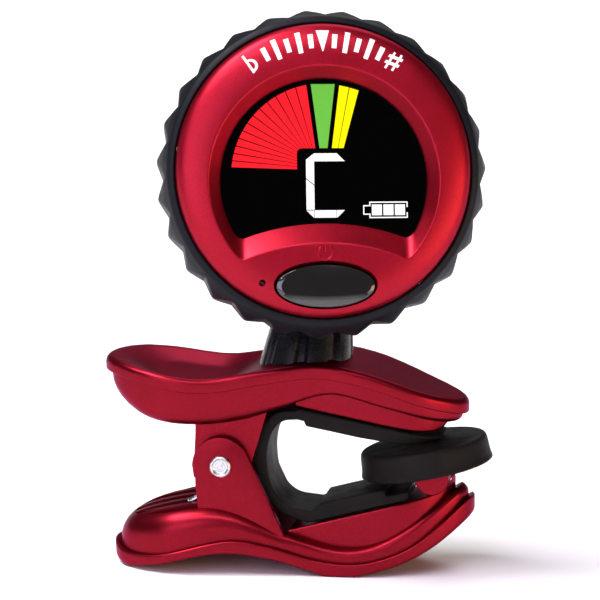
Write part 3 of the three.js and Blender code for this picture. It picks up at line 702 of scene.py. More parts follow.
def upper_lever():
    outline = plan(UPPER_PLAN)
    slab = pillow(outline, UPPER_CREST, lowered(UPPER_CREST, RIM),
                  grading(1.6, 0.8, -27, -20), always(0.22), spoon)
    belly = pillow(inset(outline, BELLY_INSET), lowered(UPPER_CREST, 1.2), UPPER_BELLY,
                   always(0.1), grading(2.6, 0.9, -8, 1))
    web_bottom = height([(0.2, 24.15), (9.9, 22.25), (18.4, 20.6), (20.6, 20.75), (21.9, 21.9)])
    web = pillow(web_plan([(0.3, WEB), (8, WEB), (15, 5.6), (19, 4.4), (21.2, 2.2), (21.9, 0)]),
                 lowered(UPPER_CREST, 2.6), web_bottom, always(0.1), always(0.4), ends=(3, 3))
    ears = ear(np.vstack([
        [(-14, 24.4), (-14.1, 20)], arc(*PIVOT, EAR_RADIUS, 180, 360, 40),
        [(-3.9, 22.6), (-3.4, 25.2)],
    ]), UPPER_EAR)
    body = united(slab, belly, web, ears)
    lanes = grip_lanes(outline, 20, 26.2, -15)
    return cut(body, lanes)


def lower_lever():
    outline = plan(LOWER_PLAN)
    slab = pillow(outline, LOWER_RIM, LOWER_KEEL, always(0.3), grading(1.8, 0.6, -26, -17))
    belly = pillow(inset(outline, BELLY_INSET), LOWER_BELLY, lowered(LOWER_RIM, 1.0),
                   grading(3.4, 1.25, -9, 1), always(0.1))
    web_top = straight([(-1, 6.0), (-0.4, 6.1), (21.0, 11.85), (21.6, 12.9), (22.1, 13.9), (22.6, 13.8)])
    web = pillow(web_plan([(-0.8, WEB), (8, WEB), (15, 5.7), (19, 4.5), (21.8, 2.3), (22.55, 0)]),
                 web_top, lowered(LOWER_BELLY, 1.0), always(0.3), always(0.05), ends=(3, 3))
    ears = ear(np.vstack([
        [(-0.9, 5), (-1.0, 5.6)], arc(*PIVOT, EAR_RADIUS, 24, 180, 40), [(-13.5, 9.4), (-13.3, 5)],
    ]), LOWER_EAR)
    body = united(slab, belly, web, ears)
    cradle = bar(*ROCKER, 2.52, -7.4, 7.4, 64)
    body = cut(body, cradle, grip_lanes(outline, 4.4, 14, -13.6))
    lug = united(bar(*ROCKER, 2.05, -1.3, 1.3, 48, 0.12), block((18.3, 9, -1.3), (21.1, 13.2, 1.3), 0.1))
    return gathered([body, lug])


# ---------------- hinge

def clip_rivet():
    """A turned rivet: a shallow cup inside a bright rolled rim at each end."""
    head = [(0, 0.42), (0.18, 0.4), (0.3, 0.36), (0.62, 0.4), (0.8, 0.36), (1.05, 0.42), (1.16, 0.58),
            (1.3, 0.64), (1.46, 0.56), (1.55, 0.38), (1.55, 0.02), (1.15, -0.05)]
    half = [(radius, LOWER_EAR + EAR + up) for radius, up in head] + [(1.15, 0)]
    profile = half + [(radius, -z) for radius, z in reversed(half[:-1])]
    return shifted(lathe(rounded(profile, 0.12, 3)), *PIVOT)


def torsion_spring():
    """Lower leg, close coils round the bush, upper leg."""
    radius, half, turns = 2.95, 4.2, 5
    low_foot, high_foot = (-15.4, 9.2, 3.5), (-18.0, 23.2, -3.5)

    def tangent(foot, side):
        x, y = foot[0] - PIVOT[0], foot[1] - PIVOT[1]
        return math.atan2(y, x) + side * math.acos(radius / math.hypot(x, y))

    start, end = tangent(low_foot, 1), tangent(high_foot, -1) + 2 * math.pi * (turns + 1)
    while end - start > 2 * math.pi * (turns + 1):
        end -= 2 * math.pi
    share = np.linspace(0, 1, 56 * turns)
    angle = start + (end - start) * share
    coil = np.column_stack([PIVOT[0] + radius * np.cos(angle), PIVOT[1] + radius * np.sin(angle),
                            half * (1 - 2 * share)])
    lead = np.linspace(0, 1, 14)[:-1, None]
    first = np.array(low_foot) * (1 - lead) + coil[0] * lead
    last = coil[-1] * lead[::-1] + np.array(high_foot) * (1 - lead[::-1])
    return swept(np.vstack([first, coil, last]), 0.5)


# ---------------- jaw liner and rocking foot

def jaw_liner():
    """One rubber loop: a C-shaped strip whose inner face is stepped at the pads."""
    def throat(grow, start, end, count, swell, flat_by):
        degrees = np.linspace(start, end, count)
        grow = grow + swell * eased(94, 124, degrees) * (1 - eased(flat_by - 50, flat_by, degrees))
        angle = np.radians(degrees)
        return np.column_stack([0.62 + (5.35 + grow) * np.cos(angle), 15.55 + (7.2 + grow) * np.sin(angle)])

    def low(points):
        """The lower pad, from points (x, height above its sloping underside)."""
        return [(x, 6.6 + 0.27 * (x - 0.3) + rise) for x, rise in points]

    inner = [(20.6, 19.3), (19.4, 19.05), (17.8, 18.9), (16.2, 18.87), (14.5, 18.98), (12, 19.35),
             (9.2, 19.76), (6, 20.36), (3.2, 20.88), (1.9, 21.12), (1.7, 21.22), (1.58, 21.55),
             (1.5, 21.86)]
    outer = [(20.9, 19.95), (20.3, 19.95), (19.2, 20.02), (17, 20.45), (14.5, 20.95), (12, 21.45),
             (9.9, 21.87), (6.5, 22.55), (3.6, 23.13), (2.2, 23.4), (1.6, 23.52), (1.0, 23.63),
             (0.7, 23.68)]
    back_in = throat(-0.72, 92, 268, 60, 0.45, 185)
    back_out = throat(0.72, 96, 262, 60, 0.62, 215)
    back_in[:4, 1] += np.linspace(0.02, 0, 4)
    foot_in = low([(2.6, 1.62), (3.3, 1.66), (3.42, 1.8), (3.5, 2.3), (3.75, 2.45), (6, 2.45), (8.8, 2.45),
                   (10.5, 2.42), (12.6, 2.38), (13.05, 2.2), (13.2, 1.5), (13.5, 1.36), (15, 1.36),
                   (16.3, 1.3)])
    foot_out = low([(2.0, 0.02), (2.8, 0), (3.2, 0), (3.5, 0), (4.2, 0), (6, 0), (8.8, 0), (10.5, 0),
                    (12.4, 0), (12.9, 0), (13.2, 0), (13.6, 0), (15, 0), (16.4, 0.08)])
    inside = np.vstack([inner, back_in, foot_in])
    outside = np.vstack([outer, back_out, foot_out])
    corner = 0.38
    rings = []
    for a, b in zip(inside, outside):
        half = 5.0 + 0.7 * float(eased(-4, 1.5, a[0])) - 2.6 * float(eased(15.5, 21.5, a[0]))
        across = b - a
        thick = np.linalg.norm(across)
        across /= thick
        r = min(corner, 0.45 * thick)
        ring = []
        for cu, cz, turn in ((thick - r, half - r, 0), (r, half - r, 90), (r, r - half, 180),
                             (thick - r, r - half, 270)):
            for k in np.radians(np.linspace(turn, turn + 90, 5)):
                u, z = cu + r * math.cos(k), cz + r * math.sin(k)
                ring.append((*(a + across * u), z))
        rings.append(np.array(ring))
    return skin(rings)


def rocker_foot():
    """A round rubber puck, flared at its lower edge, hollow where its carrier sits."""
    profile = [(0, 0), (9.2, 0), (9.5, 0.2), (9.5, 0.45), (9.36, 0.9), (9.28, 1.8), (9.2, 3.0),
               (9.1, 3.5), (8.85, 3.8), (8.4, 3.93), (5, 3.95), (0, 3.95)]
    puck = lathe(rounded(profile, 0.3, 3), 160)
    base, lean = (18.5, 14.55, 0), math.radians(10.2)
    upright = Matrix.Rotation(math.radians(-90), 4, "X")
    moved(puck, Matrix.Translation(base) @ Matrix.Rotation(lean, 4, "Z") @ upright)
    x = ROCKER[0]
    stalk_room = block((x - 3, 10, -5.5), (x + 3, 17.2, 5.5), 0.3)
    shelf_room = block((x - 5.3, 16.2, -5.5), (x + 4.9, 17.7, 5.5), 0.2)
    return cut(puck, stalk_room, shelf_room)


def rocker_carrier():
    x, y = ROCKER
    barrel = bar(x, y, 2.4, -5.2, 5.2, 72, 0.16)
    stalk = block((x - 2.4, y, -5.2), (x + 2.4, 16.8, 5.2), 0.14)
    shelf = block((x - 5, 16.5, -5.2), (x + 4.6, 17.4, 5.2), 0.14)
    carrier = united(barrel, stalk, shelf)
    return cut(carrier, block((x - 6, 10, -1.6), (x + 6, 16.5, 1.6)))


# ---------------- neck

def neck_arm():
    """A fluted cone that leans towards the ball, with a stem and a ball above it."""
    radius, groove, flutes, taper = 6.8, 1.05, 8, 0.8
    top = np.array(BALL_IN_NECK)
    cone = top[1] * 0.6
    section = [(-0.285, 0.06), (-0.24, 0), (-0.12, 0), (0, 0), (0.12, 0), (0.24, 0), (0.285, 0.06),
               (0.32, 0.3), (0.35, 0.72), (0.385, 0.95), (0.43, 1), (0.5, 1), (0.57, 1), (0.615, 0.95),
               (0.65, 0.72), (0.68, 0.3)]
    turn, depth = np.array([(flute + 0.5 + share, depth) for flute in range(flutes)
                            for share, depth in section]).T
    angle = np.radians(turn * 360 / flutes)

    def ring(up, scale, depth_scale=1.0):
        r = (radius - groove * depth * depth_scale) * scale
        lean = up / top[1]
        return np.column_stack([r * np.cos(angle) + top[0] * lean, np.full(len(r), up),
                                -r * np.sin(angle) + top[2] * lean])

    rings = [ring(-0.2, 0.5, 0), ring(-0.2, 1.0)]
    rings += [ring(up, 1 + (taper - 1) * up / cone) for up in np.linspace(0.3, cone - 0.5, 8)]
    rings += [ring(cone + up, scale, share) for up, scale, share in (
        (-0.2, 0.79, 0.97), (0, 0.755, 0.9), (0.05, 0.6, 0.3), (0.1, 0.4, 0))]
    fluted = skin(rings)
    turn = BALL_IN_NECK.normalized().to_track_quat("Z", "Y").to_matrix().to_4x4()
    length = BALL_IN_NECK.length
    stem = [(0, 5), (1.9, 5), (1.9, length - 3.4), (2.05, length - 2.95)]
    ball = arc(0, length, 3.6, -55, 90, 22)
    knuckle = moved(lathe(stem + [tuple(p) for p in ball[:-1]] + [(0, length + 3.6)], 72), turn)
    return united(fluted, knuckle)


def ball_socket():
    """The boss on the back of the head, with a slot that lets the neck swing fore and aft."""
    x, y, z = BALL_IN_HEAD
    outer, inner, reach = 6.1, 4.3, 9
    dome = [(outer * math.sin(a), -outer * math.cos(a)) for a in np.radians(np.linspace(0, 90, 24))]
    boss = lathe(dome + [(outer, 4.0), (6.6, 4.6), (7.0, 5.2), (7.0, 5.5), (0, 5.5)])
    shifted(boss, x, y, z + 1)
    hollow = [(inner * math.sin(a), -inner * math.cos(a)) for a in np.radians(np.linspace(0, 180, 36))]
    hollow[0], hollow[-1] = (0, -inner), (0, inner)
    wedge = [(0, 0)] + [polar(-reach, degrees) for degrees in (-30, -7, 17, 40, 64)]
    slot = raw([(side, p, q) for side in (-3.8, 3.8) for p, q in wedge],
               [tuple(range(6)), tuple(range(11, 5, -1))]
               + [(i, (i + 1) % 6, 6 + (i + 1) % 6, 6 + i) for i in range(6)])
    bevelled(slot, 0.5, 4)
    return cut(boss, shifted(lathe(hollow, 64), x, y, z), shifted(slot, x, y, z))


# ---------------- head

CASE = 20.6
DOME = height([(0, 8.9), (14, 8.9), (16.2, 8.85), (17.8, 8.62), (19.1, 8.25), (19.95, 7.75), (20.4, 7.1),
               (CASE, 6.2)])
WINDOW_Y = -1.65
WINDOW = 14.4
CHIN = 31.7
CHIN_DOWN = 5.85
BUTTON_Y = -16.3
BUTTON_SIZE = (6.9, 3.0)
MICROPHONE = (-8.8, -15.85)
LENS_TOP = 6.8
LENS_FACE = LENS_TOP - 0.05
# points along the window's circle and along the arch that closes it below
ROUND, BELOW = 240, 120
# how far the bezel has dropped near its crease, by share of the way to the window
ROUNDED_CREASE = {0.02: 0.03, 0.06: 0.10, 0.12: 0.22}


def window_edge(grow, chin_grow, corner=4):
    """The window: a circle over a shallow arch, with its two corners rounded."""
    circle, arch, apart = WINDOW + grow, CHIN - chin_grow, CHIN + CHIN_DOWN
    meet = math.acos((circle**2 + apart**2 - arch**2) / (2 * circle * apart))
    swing = math.asin(circle * math.sin(meet) / arch)
    down, up = -math.pi / 2, math.pi / 2
    over = np.linspace(down + meet, down - meet + 2 * math.pi, ROUND, endpoint=False)
    under = np.linspace(up + swing, up - swing, BELOW, endpoint=False)
    top = np.column_stack([circle * np.cos(over), WINDOW_Y + circle * np.sin(over)])
    low = np.column_stack([arch * np.cos(under), WINDOW_Y - apart + arch * np.sin(under)])
    loop = np.vstack([top, low])
    count = len(loop)
    for at in (0, ROUND):
        near = np.arange(at - corner, at + corner + 1) % count
        loop[near] = turned(loop[near[0]], loop[at], loop[near[-1]], 2 * corner)
    return loop


def beyond(edge, radius):
    """The points of a circle that lie outwards of an outline's points."""
    return edge / np.linalg.norm(edge, axis=1)[:, None] * radius


def ellipse_ring(wider, taller, z):
    """The button's oval, grown by two half sizes, at a height z."""
    angle = np.linspace(0, 2 * math.pi, 128, endpoint=False)
    a, b = BUTTON_SIZE
    return level(np.column_stack([(a + wider) * np.cos(angle), BUTTON_Y + (b + taller) * np.sin(angle)]), z)


def front_bezel():
    """The dished ring round the window, the chin under it, and the button's and microphone's holes."""
    crease, sill = window_edge(1.7, 2.9, 3), window_edge(0, 0, 5)
    rim = beyond(crease, CASE)
    rings = [level(beyond(crease, 19), 3.0), level(rim, 3.0), level(rim, 5.6)]
    for share in (0, 0.03, 0.07, 0.12, 0.18, 0.25, 0.33, 0.42, 0.52, 0.63, 0.75, 0.86, 0.94, 0.975):
        flat = rim + (crease - rim) * share
        rings.append(level(flat, DOME(np.linalg.norm(flat, axis=1))))
    top = DOME(np.linalg.norm(crease, axis=1))
    for share in (0.02, 0.06, 0.12, 0.3, 0.6, 0.88):
        drop = ROUNDED_CREASE.get(share, share * (top - LENS_TOP))
        rings.append(level(crease + (sill - crease) * share, top - drop))
    rings += [level(sill, LENS_TOP - 0.02), level(sill, 5.3), level(beyond(crease, 18.9), 5.3)]
    shell = closed_skin(rings)
    button_hole = skin([ellipse_ring(0.22, 0.22, 2), ellipse_ring(0.22, 0.22, 8.0),
                        ellipse_ring(0.3, 0.3, 8.6), ellipse_ring(0.75, 0.75, 9.4)])
    mic_hole = lathe([(0, 4), (0.46, 4), (0.46, 8.6), (0.7, 9.2), (0, 9.2)], 32)
    return cut(shell, button_hole, shifted(mic_hole, *MICROPHONE))


def power_symbol():
    """The raised standby sign above the button: an open ring and a stroke."""
    middle_y, radius, z, thickness = -11.75, 0.98, 8.9, 0.19
    ring = [(radius * math.sin(a), middle_y + radius * math.cos(a), z)
            for a in np.radians(np.linspace(38, 322, 40))]
    stroke = [(0, y, z) for y in np.linspace(-11.65, -10.55, 6)]
    return gathered([swept(path, thickness, 10) for path in (ring, stroke)])


def tile(corners, surface, lift=0.035, sunk=0.06, steps=6):
    """A thin patch between four corners, laid on a surface z(x, y)."""
    a, b, c, d = (np.array(p, float) for p in corners)
    shares = np.linspace(0, 1, steps + 1)
    flat = [(a * (1 - u) + b * u) * (1 - v) + (d * (1 - u) + c * u) * v for u in shares for v in shares]
    verts = [(x, y, surface(x, y) + offset) for offset in (-sunk, lift) for x, y in flat]
    n = steps + 1
    under = n * n
    faces = []
    for i in range(steps):
        for j in range(steps):
            k = i * n + j
            faces.append((k, k + 1, k + n + 1, k + n))
            faces.append((under + k, under + k + n, under + k + n + 1, under + k + 1))
    edge = [i * n for i in range(n)] + [steps * n + j for j in range(1, n)]
    edge += [i * n + steps for i in range(steps - 1, -1, -1)] + list(range(steps - 1, 0, -1))
    for k, m in zip(edge, edge[1:] + edge[:1]):
        faces.append((k, m, under + m, under + k))
    return raw(verts, faces)


def on_dome(x, y):
    return float(DOME(math.hypot(x, y)))


# radii between which the tuning scale's longest marks run
SCALE_LOW, SCALE_HIGH = 16.35, 19.35


def bezel_print():
    """A printed tuning scale over the window: ticks, a centre pointer, a flat and a sharp."""
    marks = []
    apart, half = 5.3, 1.1
    for step in (-5, -4, -3, -2, -1, 1, 2, 3, 4, 5):
        at, shorter = 90 - step * apart, 0.5 * (step % 2)
        foot, head = SCALE_LOW + shorter, SCALE_HIGH - shorter
        marks.append(tile([polar(foot, at + half), polar(foot, at - half),
                           polar(head, at - half), polar(head, at + half)], on_dome))
    marks.append(tile([polar(SCALE_LOW, 90.2), polar(SCALE_LOW, 89.8),
                       polar(SCALE_HIGH, 87.3), polar(SCALE_HIGH, 92.7)], on_dome))
    marks += sharp_sign(56.5) + flat_sign(123.5)
    return gathered(marks)


def local_strokes(at_degrees, strokes):
    """Strokes drawn as (x, y) quads about a point on the scale, turned to face outwards."""
    out, side = (np.array(polar(1, degrees)) for degrees in (at_degrees, at_degrees - 90))
    middle_of_scale = (SCALE_LOW + SCALE_HIGH) / 2
    return [tile([out * (middle_of_scale + y) + side * x for x, y in quad], on_dome) for quad in strokes]


def sharp_sign(at_degrees):
    strokes = [[(x - 0.15, -1.35 + x * 0.2), (x + 0.15, -1.35 + x * 0.2), (x + 0.15, 1.3 + x * 0.2),
                (x - 0.15, 1.3 + x * 0.2)] for x in (-0.5, 0.5)]
    strokes += [[(-1.0, y - 0.5), (1.0, y - 0.1), (1.0, y + 0.35), (-1.0, y - 0.05)] for y in (-0.35, 0.65)]
    return local_strokes(at_degrees, strokes)


def flat_sign(at_degrees):
    strokes = [[(-0.75, -1.4), (-0.42, -1.4), (-0.42, 1.5), (-0.75, 1.5)]]
    bowl = arc(-0.45, -0.35, 1.0, 95, -58, 9)
    for (ax, ay), (bx, by) in zip(bowl[:-1], bowl[1:]):
        inner = [(-0.45 + (x + 0.45) * 0.6, -0.35 + (y + 0.35) * 0.72) for x, y in ((bx, by), (ax, ay))]
        strokes.append([(ax, ay), (bx, by), inner[0], inner[1]])
    strokes.append([(-0.6, -1.4), (0.12, -1.18), (0.0, -0.85), (-0.6, -1.05)])
    return local_strokes(at_degrees, strokes)


def power_button():
    """A glossy, evenly crowned oval cap."""
    foot, side, edge, crown = 4.0, 8.15, 8.66, 0.36
    rings = [ellipse_ring(-1.2, -1.0, foot), ellipse_ring(0, 0, foot), ellipse_ring(0, 0, side)]
    for turn in np.radians(np.linspace(15, 90, 6)):
        drop, pull = 0.35 * (1 - math.sin(turn)), 0.25 * (1 - math.cos(turn))
        rings.append(ellipse_ring(-pull, -pull, edge - drop))
    a, b = BUTTON_SIZE
    for share in np.linspace(0.95, 0.02, 14):
        rings.append(ellipse_ring((share - 1) * a, (share - 1) * b, edge + crown * (1 - share**2.4)))
    return skin(rings)


def display_lens():
    """The flat black window behind the bezel."""
    edge = window_edge(0.4, 0.4)
    levels = ((0.5, 5.55), (1, 5.55), (1, LENS_FACE), (0.9, LENS_FACE), (0.5, LENS_FACE))
    return skin([level(edge * size, z) for size, z in levels])


def bumper_ring():
    """Rubber ring with faceted teeth: a star-shaped prism softened into a barrel."""
    teeth, per_tooth, tip, valley, first_at = 27, 18, 23.3, 22.12, 95
    pitch = 2 * math.pi / teeth
    angle = np.radians(np.arange(teeth * per_tooth) * 360 / (teeth * per_tooth))
    phase = (angle - math.radians(first_at)) / pitch
    turn = np.abs(phase - np.round(phase)) * pitch
    slope = valley * np.array([math.cos(pitch / 2), math.sin(pitch / 2)]) - (tip, 0)
    star = tip * slope[1] / (np.cos(turn) * slope[1] - np.sin(turn) * slope[0])
    star = softer(star, tip - 0.03, 9)
    barrel = rounded([(20.62, -4.0), (22.0, -3.75), (23.25, -1.0), (23.3, 0.2), (23.25, 1.4), (22.45, 4.2),
                      (21.7, 5.85), (20.95, 6.22), (20.72, 6.1), (20.62, 5.5)], 0.5, 6)
    profile = []
    for (r0, z0), (r1, z1) in zip(barrel[:-1], barrel[1:]):
        count = max(1, int(math.hypot(r1 - r0, z1 - z0) / 0.22))
        profile += [(r0 + (r1 - r0) * k / count, z0 + (z1 - z0) * k / count) for k in range(count)]
    profile.append(barrel[-1])
    circle = np.column_stack([np.cos(angle), np.sin(angle)])
    return closed_skin([level(softer(star, radius, 14)[:, None] * circle, z) for radius, z in profile])


def softer(a, b, sharpness):
    """The smaller of two radii, rounded where they are alike."""
    least = np.minimum(a, b)
    return least - np.log(np.exp(sharpness * (least - a)) + np.exp(sharpness * (least - b))) / sharpness


POSTS = ((16.7, 3), (-16.7, 3), (10.7, -12.6), (-10.7, -12.6))
BACK = -6.4
CELL_Y = 7.5
DOOR = 11.0
SLIDER = (10.5, -7.5)


def back_shell():
    profile = [(0, -4.9), (0, BACK), (17.4, BACK), (19.6, -5.5), (CASE, -3.6), (CASE, 2.7), (19, 2.7),
               (19, -4.4), (18.4, -4.9)]
    bowl = lathe([profile[0]] + list(rounded(profile[1:], 0.8, 6)) + [(0, -4.9)], 200)
    cutters = [bar(0, CELL_Y, DOOR + 0.15, -7, -4, 128)]
    cutters += [bar(x, y, 1.75, -7, -5.7, 40) for x, y in POSTS]
    slot = block((SLIDER[0] - 2.5, SLIDER[1] - 1.05, -7), (SLIDER[0] + 2.5, SLIDER[1] + 1.05, -4), 0.25)
    return cut(bowl, *cutters, slot)


def battery_door():
    """A round cover with a coin slot, a finger notch and a ring groove."""
    outer = [(0, -5.0), (0, BACK), (9.2, BACK), (9.35, BACK + 0.22), (9.6, BACK + 0.22), (9.75, BACK),
             (DOOR - 0.15, BACK), (DOOR, BACK + 0.15), (DOOR, -5.0)]
    disc = shifted(lathe(outer, 144), 0, CELL_Y)
    slot = block((-4, CELL_Y - 0.8, -7), (4, CELL_Y + 0.8, -5.75), 0.3)
    notches = [block((-0.7, CELL_Y + y - 0.35, -7), (0.7, CELL_Y + y + 0.35, -6.2), 0.12)
               for y in (-7.4, 7.4)]
    return cut(disc, slot, *notches)


def mode_slider():
    x, y = SLIDER
    knob = block((x - 2.2, y - 0.8, -7.1), (x + 0.2, y + 0.8, -4.6), 0.15)
    grooves = [block((x - 1.0 + s - 0.11, y - 1, -7.4), (x - 1.0 + s + 0.11, y + 1, -6.92))
               for s in (-0.7, -0.23, 0.23, 0.7)]
    foot = block((x - 3.3, y - 1.6, -4.6), (x + 1.3, y + 1.6, -4.0), 0.1)
    return gathered([cut(knob, *grooves), foot])


def case_screw(x, y):
    """A pan-head cross-recessed screw."""
    head = lathe(rounded([(0, -6.3), (0.9, -6.28), (1.5, -6.0), (1.5, -5.8), (0.7, -5.8), (0.7, 2), (0, 2)],
                         0.15, 3), 40)
    shifted(head, x, y)
    arms = [block((x - 0.85, y - 0.17, -6.6), (x + 0.85, y + 0.17, -5.95)),
            block((x - 0.17, y - 0.85, -6.6), (x + 0.17, y + 0.85, -5.95))]
    return cut(head, *arms)


# ---------------- display

FAN_CENTRE, FAN_REACH = (-0.17, -0.63), 13.32
FAN_FROM, FAN_SWEEP, FAN_BARS = 174.3, 74.4, 13
NOTCH_LEFT, NOTCH_TOP, NOTCH_END, NOTCH_ROUND = -4.0, 3.4, -1.3, 0.65
PANEL_SCALE = (0.968, 0.978)
PANEL_SHIFT = (0.18, -0.29)


def lens_face(*_place):
    return LENS_FACE


def on_panel(x, y):
    """Where a point of the panel's drawing lies on the head."""
    return (x * PANEL_SCALE[0] + PANEL_SHIFT[0], y * PANEL_SCALE[1] + PANEL_SHIFT[1])


def fan_bar(number):
    """One red bar, from the notch round the note out to the arc inside the window."""
    r = NOTCH_ROUND
    notch = np.vstack([[(NOTCH_LEFT, 0.37)], arc(NOTCH_LEFT + r, NOTCH_TOP - r, r, 180, 90, 7),
                       [(NOTCH_END, NOTCH_TOP)]])
    share = np.array([number, number + 1]) / FAN_BARS
    near = walked(notch, share)
    bearing = np.radians(FAN_FROM - FAN_SWEEP * (0.74 * share + 0.26 * share**2))
    far = np.array(FAN_CENTRE) + FAN_REACH * np.column_stack([np.cos(bearing), np.sin(bearing)])
    gap_near, gap_far = (gap * (ends[1] - ends[0]) / np.linalg.norm(ends[1] - ends[0])
                         for ends, gap in ((near, 0.03), (far, 0.075)))
    return flat_tile([near[0] + gap_near, far[0] + gap_far, far[1] - gap_far, near[1] - gap_near])


def flat_tile(corners):
    return tile([on_panel(*p) for p in corners], lens_face, lift=0.03, sunk=0.02, steps=1)


def red_segments():
    return gathered([fan_bar(number) for number in range(FAN_BARS)])


def green_segment():
    return flat_tile([(-0.73, 3.4), (-1.87, 12.57), (1.58, 12.57), (0.43, 3.4)])


def yellow_segments():
    return gathered([flat_tile(quad) for quad in (
        [(1.06, 3.4), (2.24, 12.37), (3.62, 12.07), (1.91, 3.4)],
        [(1.98, 3.4), (3.74, 12.03), (5.02, 11.63), (2.75, 3.4)],
    )])


def white_segments():
    """The note C in bar segments, and the battery sign with its three cells."""
    note = [
        [(-1.54, 2.66), (1.74, 2.66), (2.89, 1.52), (-1.54, 1.52)],
        [(-2.7, 1.77), (-1.54, 2.66), (-1.54, 1.2), (-2.7, 1.2)],
        [(-2.7, 1.25), (-1.54, 1.25), (-1.54, -1.8), (-2.7, -0.86)],
        [(-2.7, -1.02), (-1.54, -1.96), (-1.54, -5.38), (-2.7, -5.38)],
        [(-2.7, -5.5), (-1.64, -5.5), (-1.64, -5.9), (-1.64, -6.53)],
        [(-1.56, -5.47), (1.61, -5.47), (1.61, -6.53), (-1.56, -6.53)],
        [(1.69, -5.47), (2.81, -5.47), (1.76, -6.51), (1.69, -6.53)],
    ]
    left, right, low, high, line, tip = 6.33, 11.86, -6.65, -4.3, 0.17, 5.45
    boxes = [(x, -6.25, x + 1.45, -4.71) for x in (6.69, 8.36, 10.02)]
    boxes += [
        (left, high - line, right, high), (left, low, right, low + line),
        (right - line, high - 0.8, right, high), (right - line, low, right, low + 0.8),
        (left, high - 0.65, left + line, high), (left, low, left + line, low + 0.65),
        (tip, high - 0.65, left + line, high - 0.49), (tip, low + 0.49, left + line, low + 0.65),
        (tip, low + 0.5, tip + 0.16, high - 0.5),
    ]
    battery = [[(x0, y0), (x1, y0), (x1, y1), (x0, y1)] for x0, y0, x1, y1 in boxes]
    return gathered([flat_tile(quad) for quad in note + battery])


# ---------------- the pieces, placed

def across_hinge(obj):
    """Bakes the piece's world placement into its mesh."""
    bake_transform(obj)


def make_clip():
    pieces = finished_all(CLIP, (
        (upper_lever, "upper_lever_body", "upper_clip", LEVER_RED, "red_paint", "upper_lever"),
        (lower_lever, "lower_lever_body", "lower_clip", LEVER_RED, "red_paint", "lower_lever"),
        (clip_rivet, "hinge_rivet", "lower_clip", RIVET_METAL, "aluminium", "clip_rivet"),
        (torsion_spring, "coiled_spring", None, SPRING_STEEL, "steel", "torsion_spring"),
        (jaw_liner, "jaw_liner_loop", None, LINER_BLACK, "liner_rubber",
         "jaw_liner_upper", "jaw_liner_lower"),
        (rocker_foot, "rocking_foot_pad", "rocker", LINER_BLACK, "liner_rubber", "rocker_foot"),
        (rocker_carrier, "rocking_foot_carrier", "rocker", LEVER_RED, "red_paint", "rocker_carrier"),
    ))
    across_hinge(pieces["coiled_spring"])
    across_hinge(pieces["jaw_liner_loop"])


def make_neck():
    finished(neck_arm(), "neck_and_ball", NECK, "neck", NECK_BLACK, "black_plastic", "neck_arm")


def make_head():
    finished_all(HEAD, (
        (ball_socket, "head_ball_socket", "head", SHELL_BLACK, "black_plastic", "ball_socket"),
        (front_bezel, "bezel_ring", "head", BEZEL_RED, "bezel_paint", "front_bezel"),
        (power_symbol, "bezel_power_symbol", "head", BEZEL_RED, "bezel_paint"),
        (bezel_print, "bezel_scale_print", "head", PRINT_WHITE, "white_plastic"),
        (bumper_ring, "toothed_bumper", "head", BUMPER_BLACK, "bumper_rubber", "bumper_ring"),
        (power_button, "oval_button", "button", BUTTON_BLACK, "gloss_black", "power_button"),
        (display_lens, "window_lens", "head", LENS_BLACK, "gloss_black", "display_lens"),
        (back_shell, "rear_shell", "head", SHELL_BLACK, "black_plastic", "back_shell"),
        (battery_door, "rear_battery_cover", "door", SHELL_BLACK, "black_plastic", "battery_door"),
        (mode_slider, "rear_mode_switch", "slider", SHELL_BLACK, "black_plastic", "mode_slider"),
    ))
    for number, (x, y) in enumerate(POSTS, 1):
        finished(case_screw(x, y), f"rear_screw_{number}", HEAD, "head", STEEL, "steel",
                 f"case_screw_{number}")


def make_display():
    lit = (
        ("red_fan_segments", red_segments, (0.95, 0.012, 0.022)),
        ("green_segment", green_segment, (0.14, 0.5, 0.055)),
        ("yellow_segments", yellow_segments, (1.0, 0.88, 0.0)),
        ("white_segments", white_segments, (0.98, 0.98, 0.98)),
    )
    for name, make, colour in lit:
        finished(make(), name, HEAD, "head", lit_segment(name + "_light", colour), "white_plastic")


def paint_kept_nodes():
    """Materials for the CAD nodes that stay as they are."""
    looks = {
        "pivot_bush": NYLON, "rocker_pin": STEEL, "neck_washer": STEEL, "neck_screw": STEEL,
        "socket_liner": NYLON, "lcd_panel": LCD, "lcd_backlight": WHITE, "main_board": BOARD,
        "tuner_chip": SHELL_BLACK, "microphone": STEEL, "tact_switch": SHELL_BLACK,
        "switch_body": STEEL, "piezo_disc": BRASS, "coin_cell": CELL_STEEL,
        "negative_contact": BRASS, "positive_contact": BRASS,
    }
    for name, look in looks.items():
        for material_slot in frame["nodes"][name].material_slots:
            material_slot.material = look


# ---------------- studio

AIM = CLIP @ Vector((0, 38.4, 0))
VIEW = (9, 10, 0.55)


def seen_from(obj, azimuth, elevation, distance):
    """Puts a lamp or camera round the object, facing AIM; azimuth 0 is the front."""
    a, e = math.radians(azimuth), math.radians(elevation)
    back = Vector((math.sin(a) * math.cos(e), -math.cos(a) * math.cos(e), math.sin(e)))
    obj.location = AIM + back * distance
    obj.rotation_mode = "QUATERNION"
    obj.rotation_quaternion = (-back).to_track_quat("-Z", "Y")
    bpy.context.scene.collection.objects.link(obj)


def make_camera():
    lens = bpy.data.cameras.new("camera")
    lens.sensor_width = 36
    lens.lens = 231
    lens.clip_start = 0.01
    lens.clip_end = 50
    camera = bpy.data.objects.new("camera", lens)
    seen_from(camera, *VIEW)
    bpy.context.scene.camera = camera


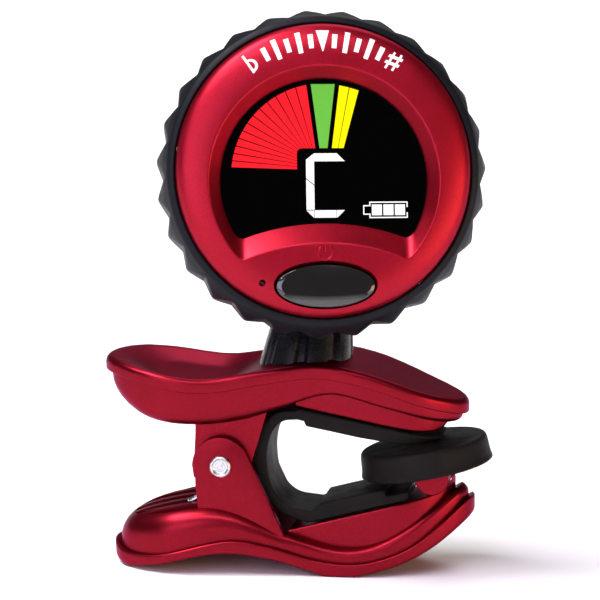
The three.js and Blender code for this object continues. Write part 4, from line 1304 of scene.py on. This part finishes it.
def make_floor():
    """A white floor that shines a little far away, so that its far edge stays white."""
    half = 6.0
    floor = raw([(-half, -half, 0), (half, -half, 0), (half, half, 0), (-half, half, 0)], [(0, 1, 2, 3)])
    floor.name = "floor"
    look = new_look("floor_white")
    look.colour(look.noise(3, 2), (0.3, (0.93,) * 3), (0.7, (0.95,) * 3))
    away = look.nodes.new("ShaderNodeVectorMath")
    away.operation = "LENGTH"
    look.links.new(look.nodes.new("ShaderNodeTexCoord").outputs["Object"], away.inputs[0])
    look.grade("Emission Strength", away.outputs["Value"], (0.45, 1.6), (0.0, 0.95))
    look.set(Emission_Color=(1, 1, 1, 1), Roughness=0.7, Specular_IOR_Level=0.2)
    floor.data.materials.append(look.owner)


def softbox(name, azimuth, elevation, distance, size, power, colour=(1, 1, 1)):
    """A rectangular area light facing the middle of the object."""
    lamp = bpy.data.lights.new(name, "AREA")
    lamp.shape = "RECTANGLE"
    lamp.size, lamp.size_y = size
    lamp.energy = power
    lamp.color = colour
    seen_from(bpy.data.objects.new(name, lamp), azimuth, elevation, distance)


def make_lights():
    """Cool light from the left, warm from the right, and a world that is white at the horizon."""
    world = bpy.data.worlds.new("studio")
    bpy.context.scene.world = world
    sky = Look(world, "Background")
    up = sky.nodes.new("ShaderNodeSeparateXYZ")
    sky.links.new(sky.nodes.new("ShaderNodeTexCoord").outputs["Generated"], up.inputs["Vector"])
    sky.grade("Strength", up.outputs["Z"], (0.03, 0.11), (1.0, 0.11))
    sky.set(Color=(1, 1, 1, 1))
    softbox("key_left", -24, 20, 0.9, (0.72, 0.45), 3.1, (1.0, 0.87, 1.22))
    softbox("fill_right", 60, 6, 0.7, (0.5, 0.22), 2.0, (1.0, 0.6, 0.33))
    softbox("front_strip", -12, 56, 0.9, (0.9, 0.12), 4.6, (1.0, 0.94, 1.08))
    softbox("top_left", -75, 63, 2.2, (0.9, 0.9), 56, (1.0, 0.97, 1.03))
    softbox("back", 180, 48, 2.2, (1.3, 1.3), 13)
    bpy.context.scene.view_settings.view_transform = "Standard"


make_camera()
make_floor()
make_lights()
make_clip()
make_neck()
make_head()
make_display()
paint_kept_nodes()
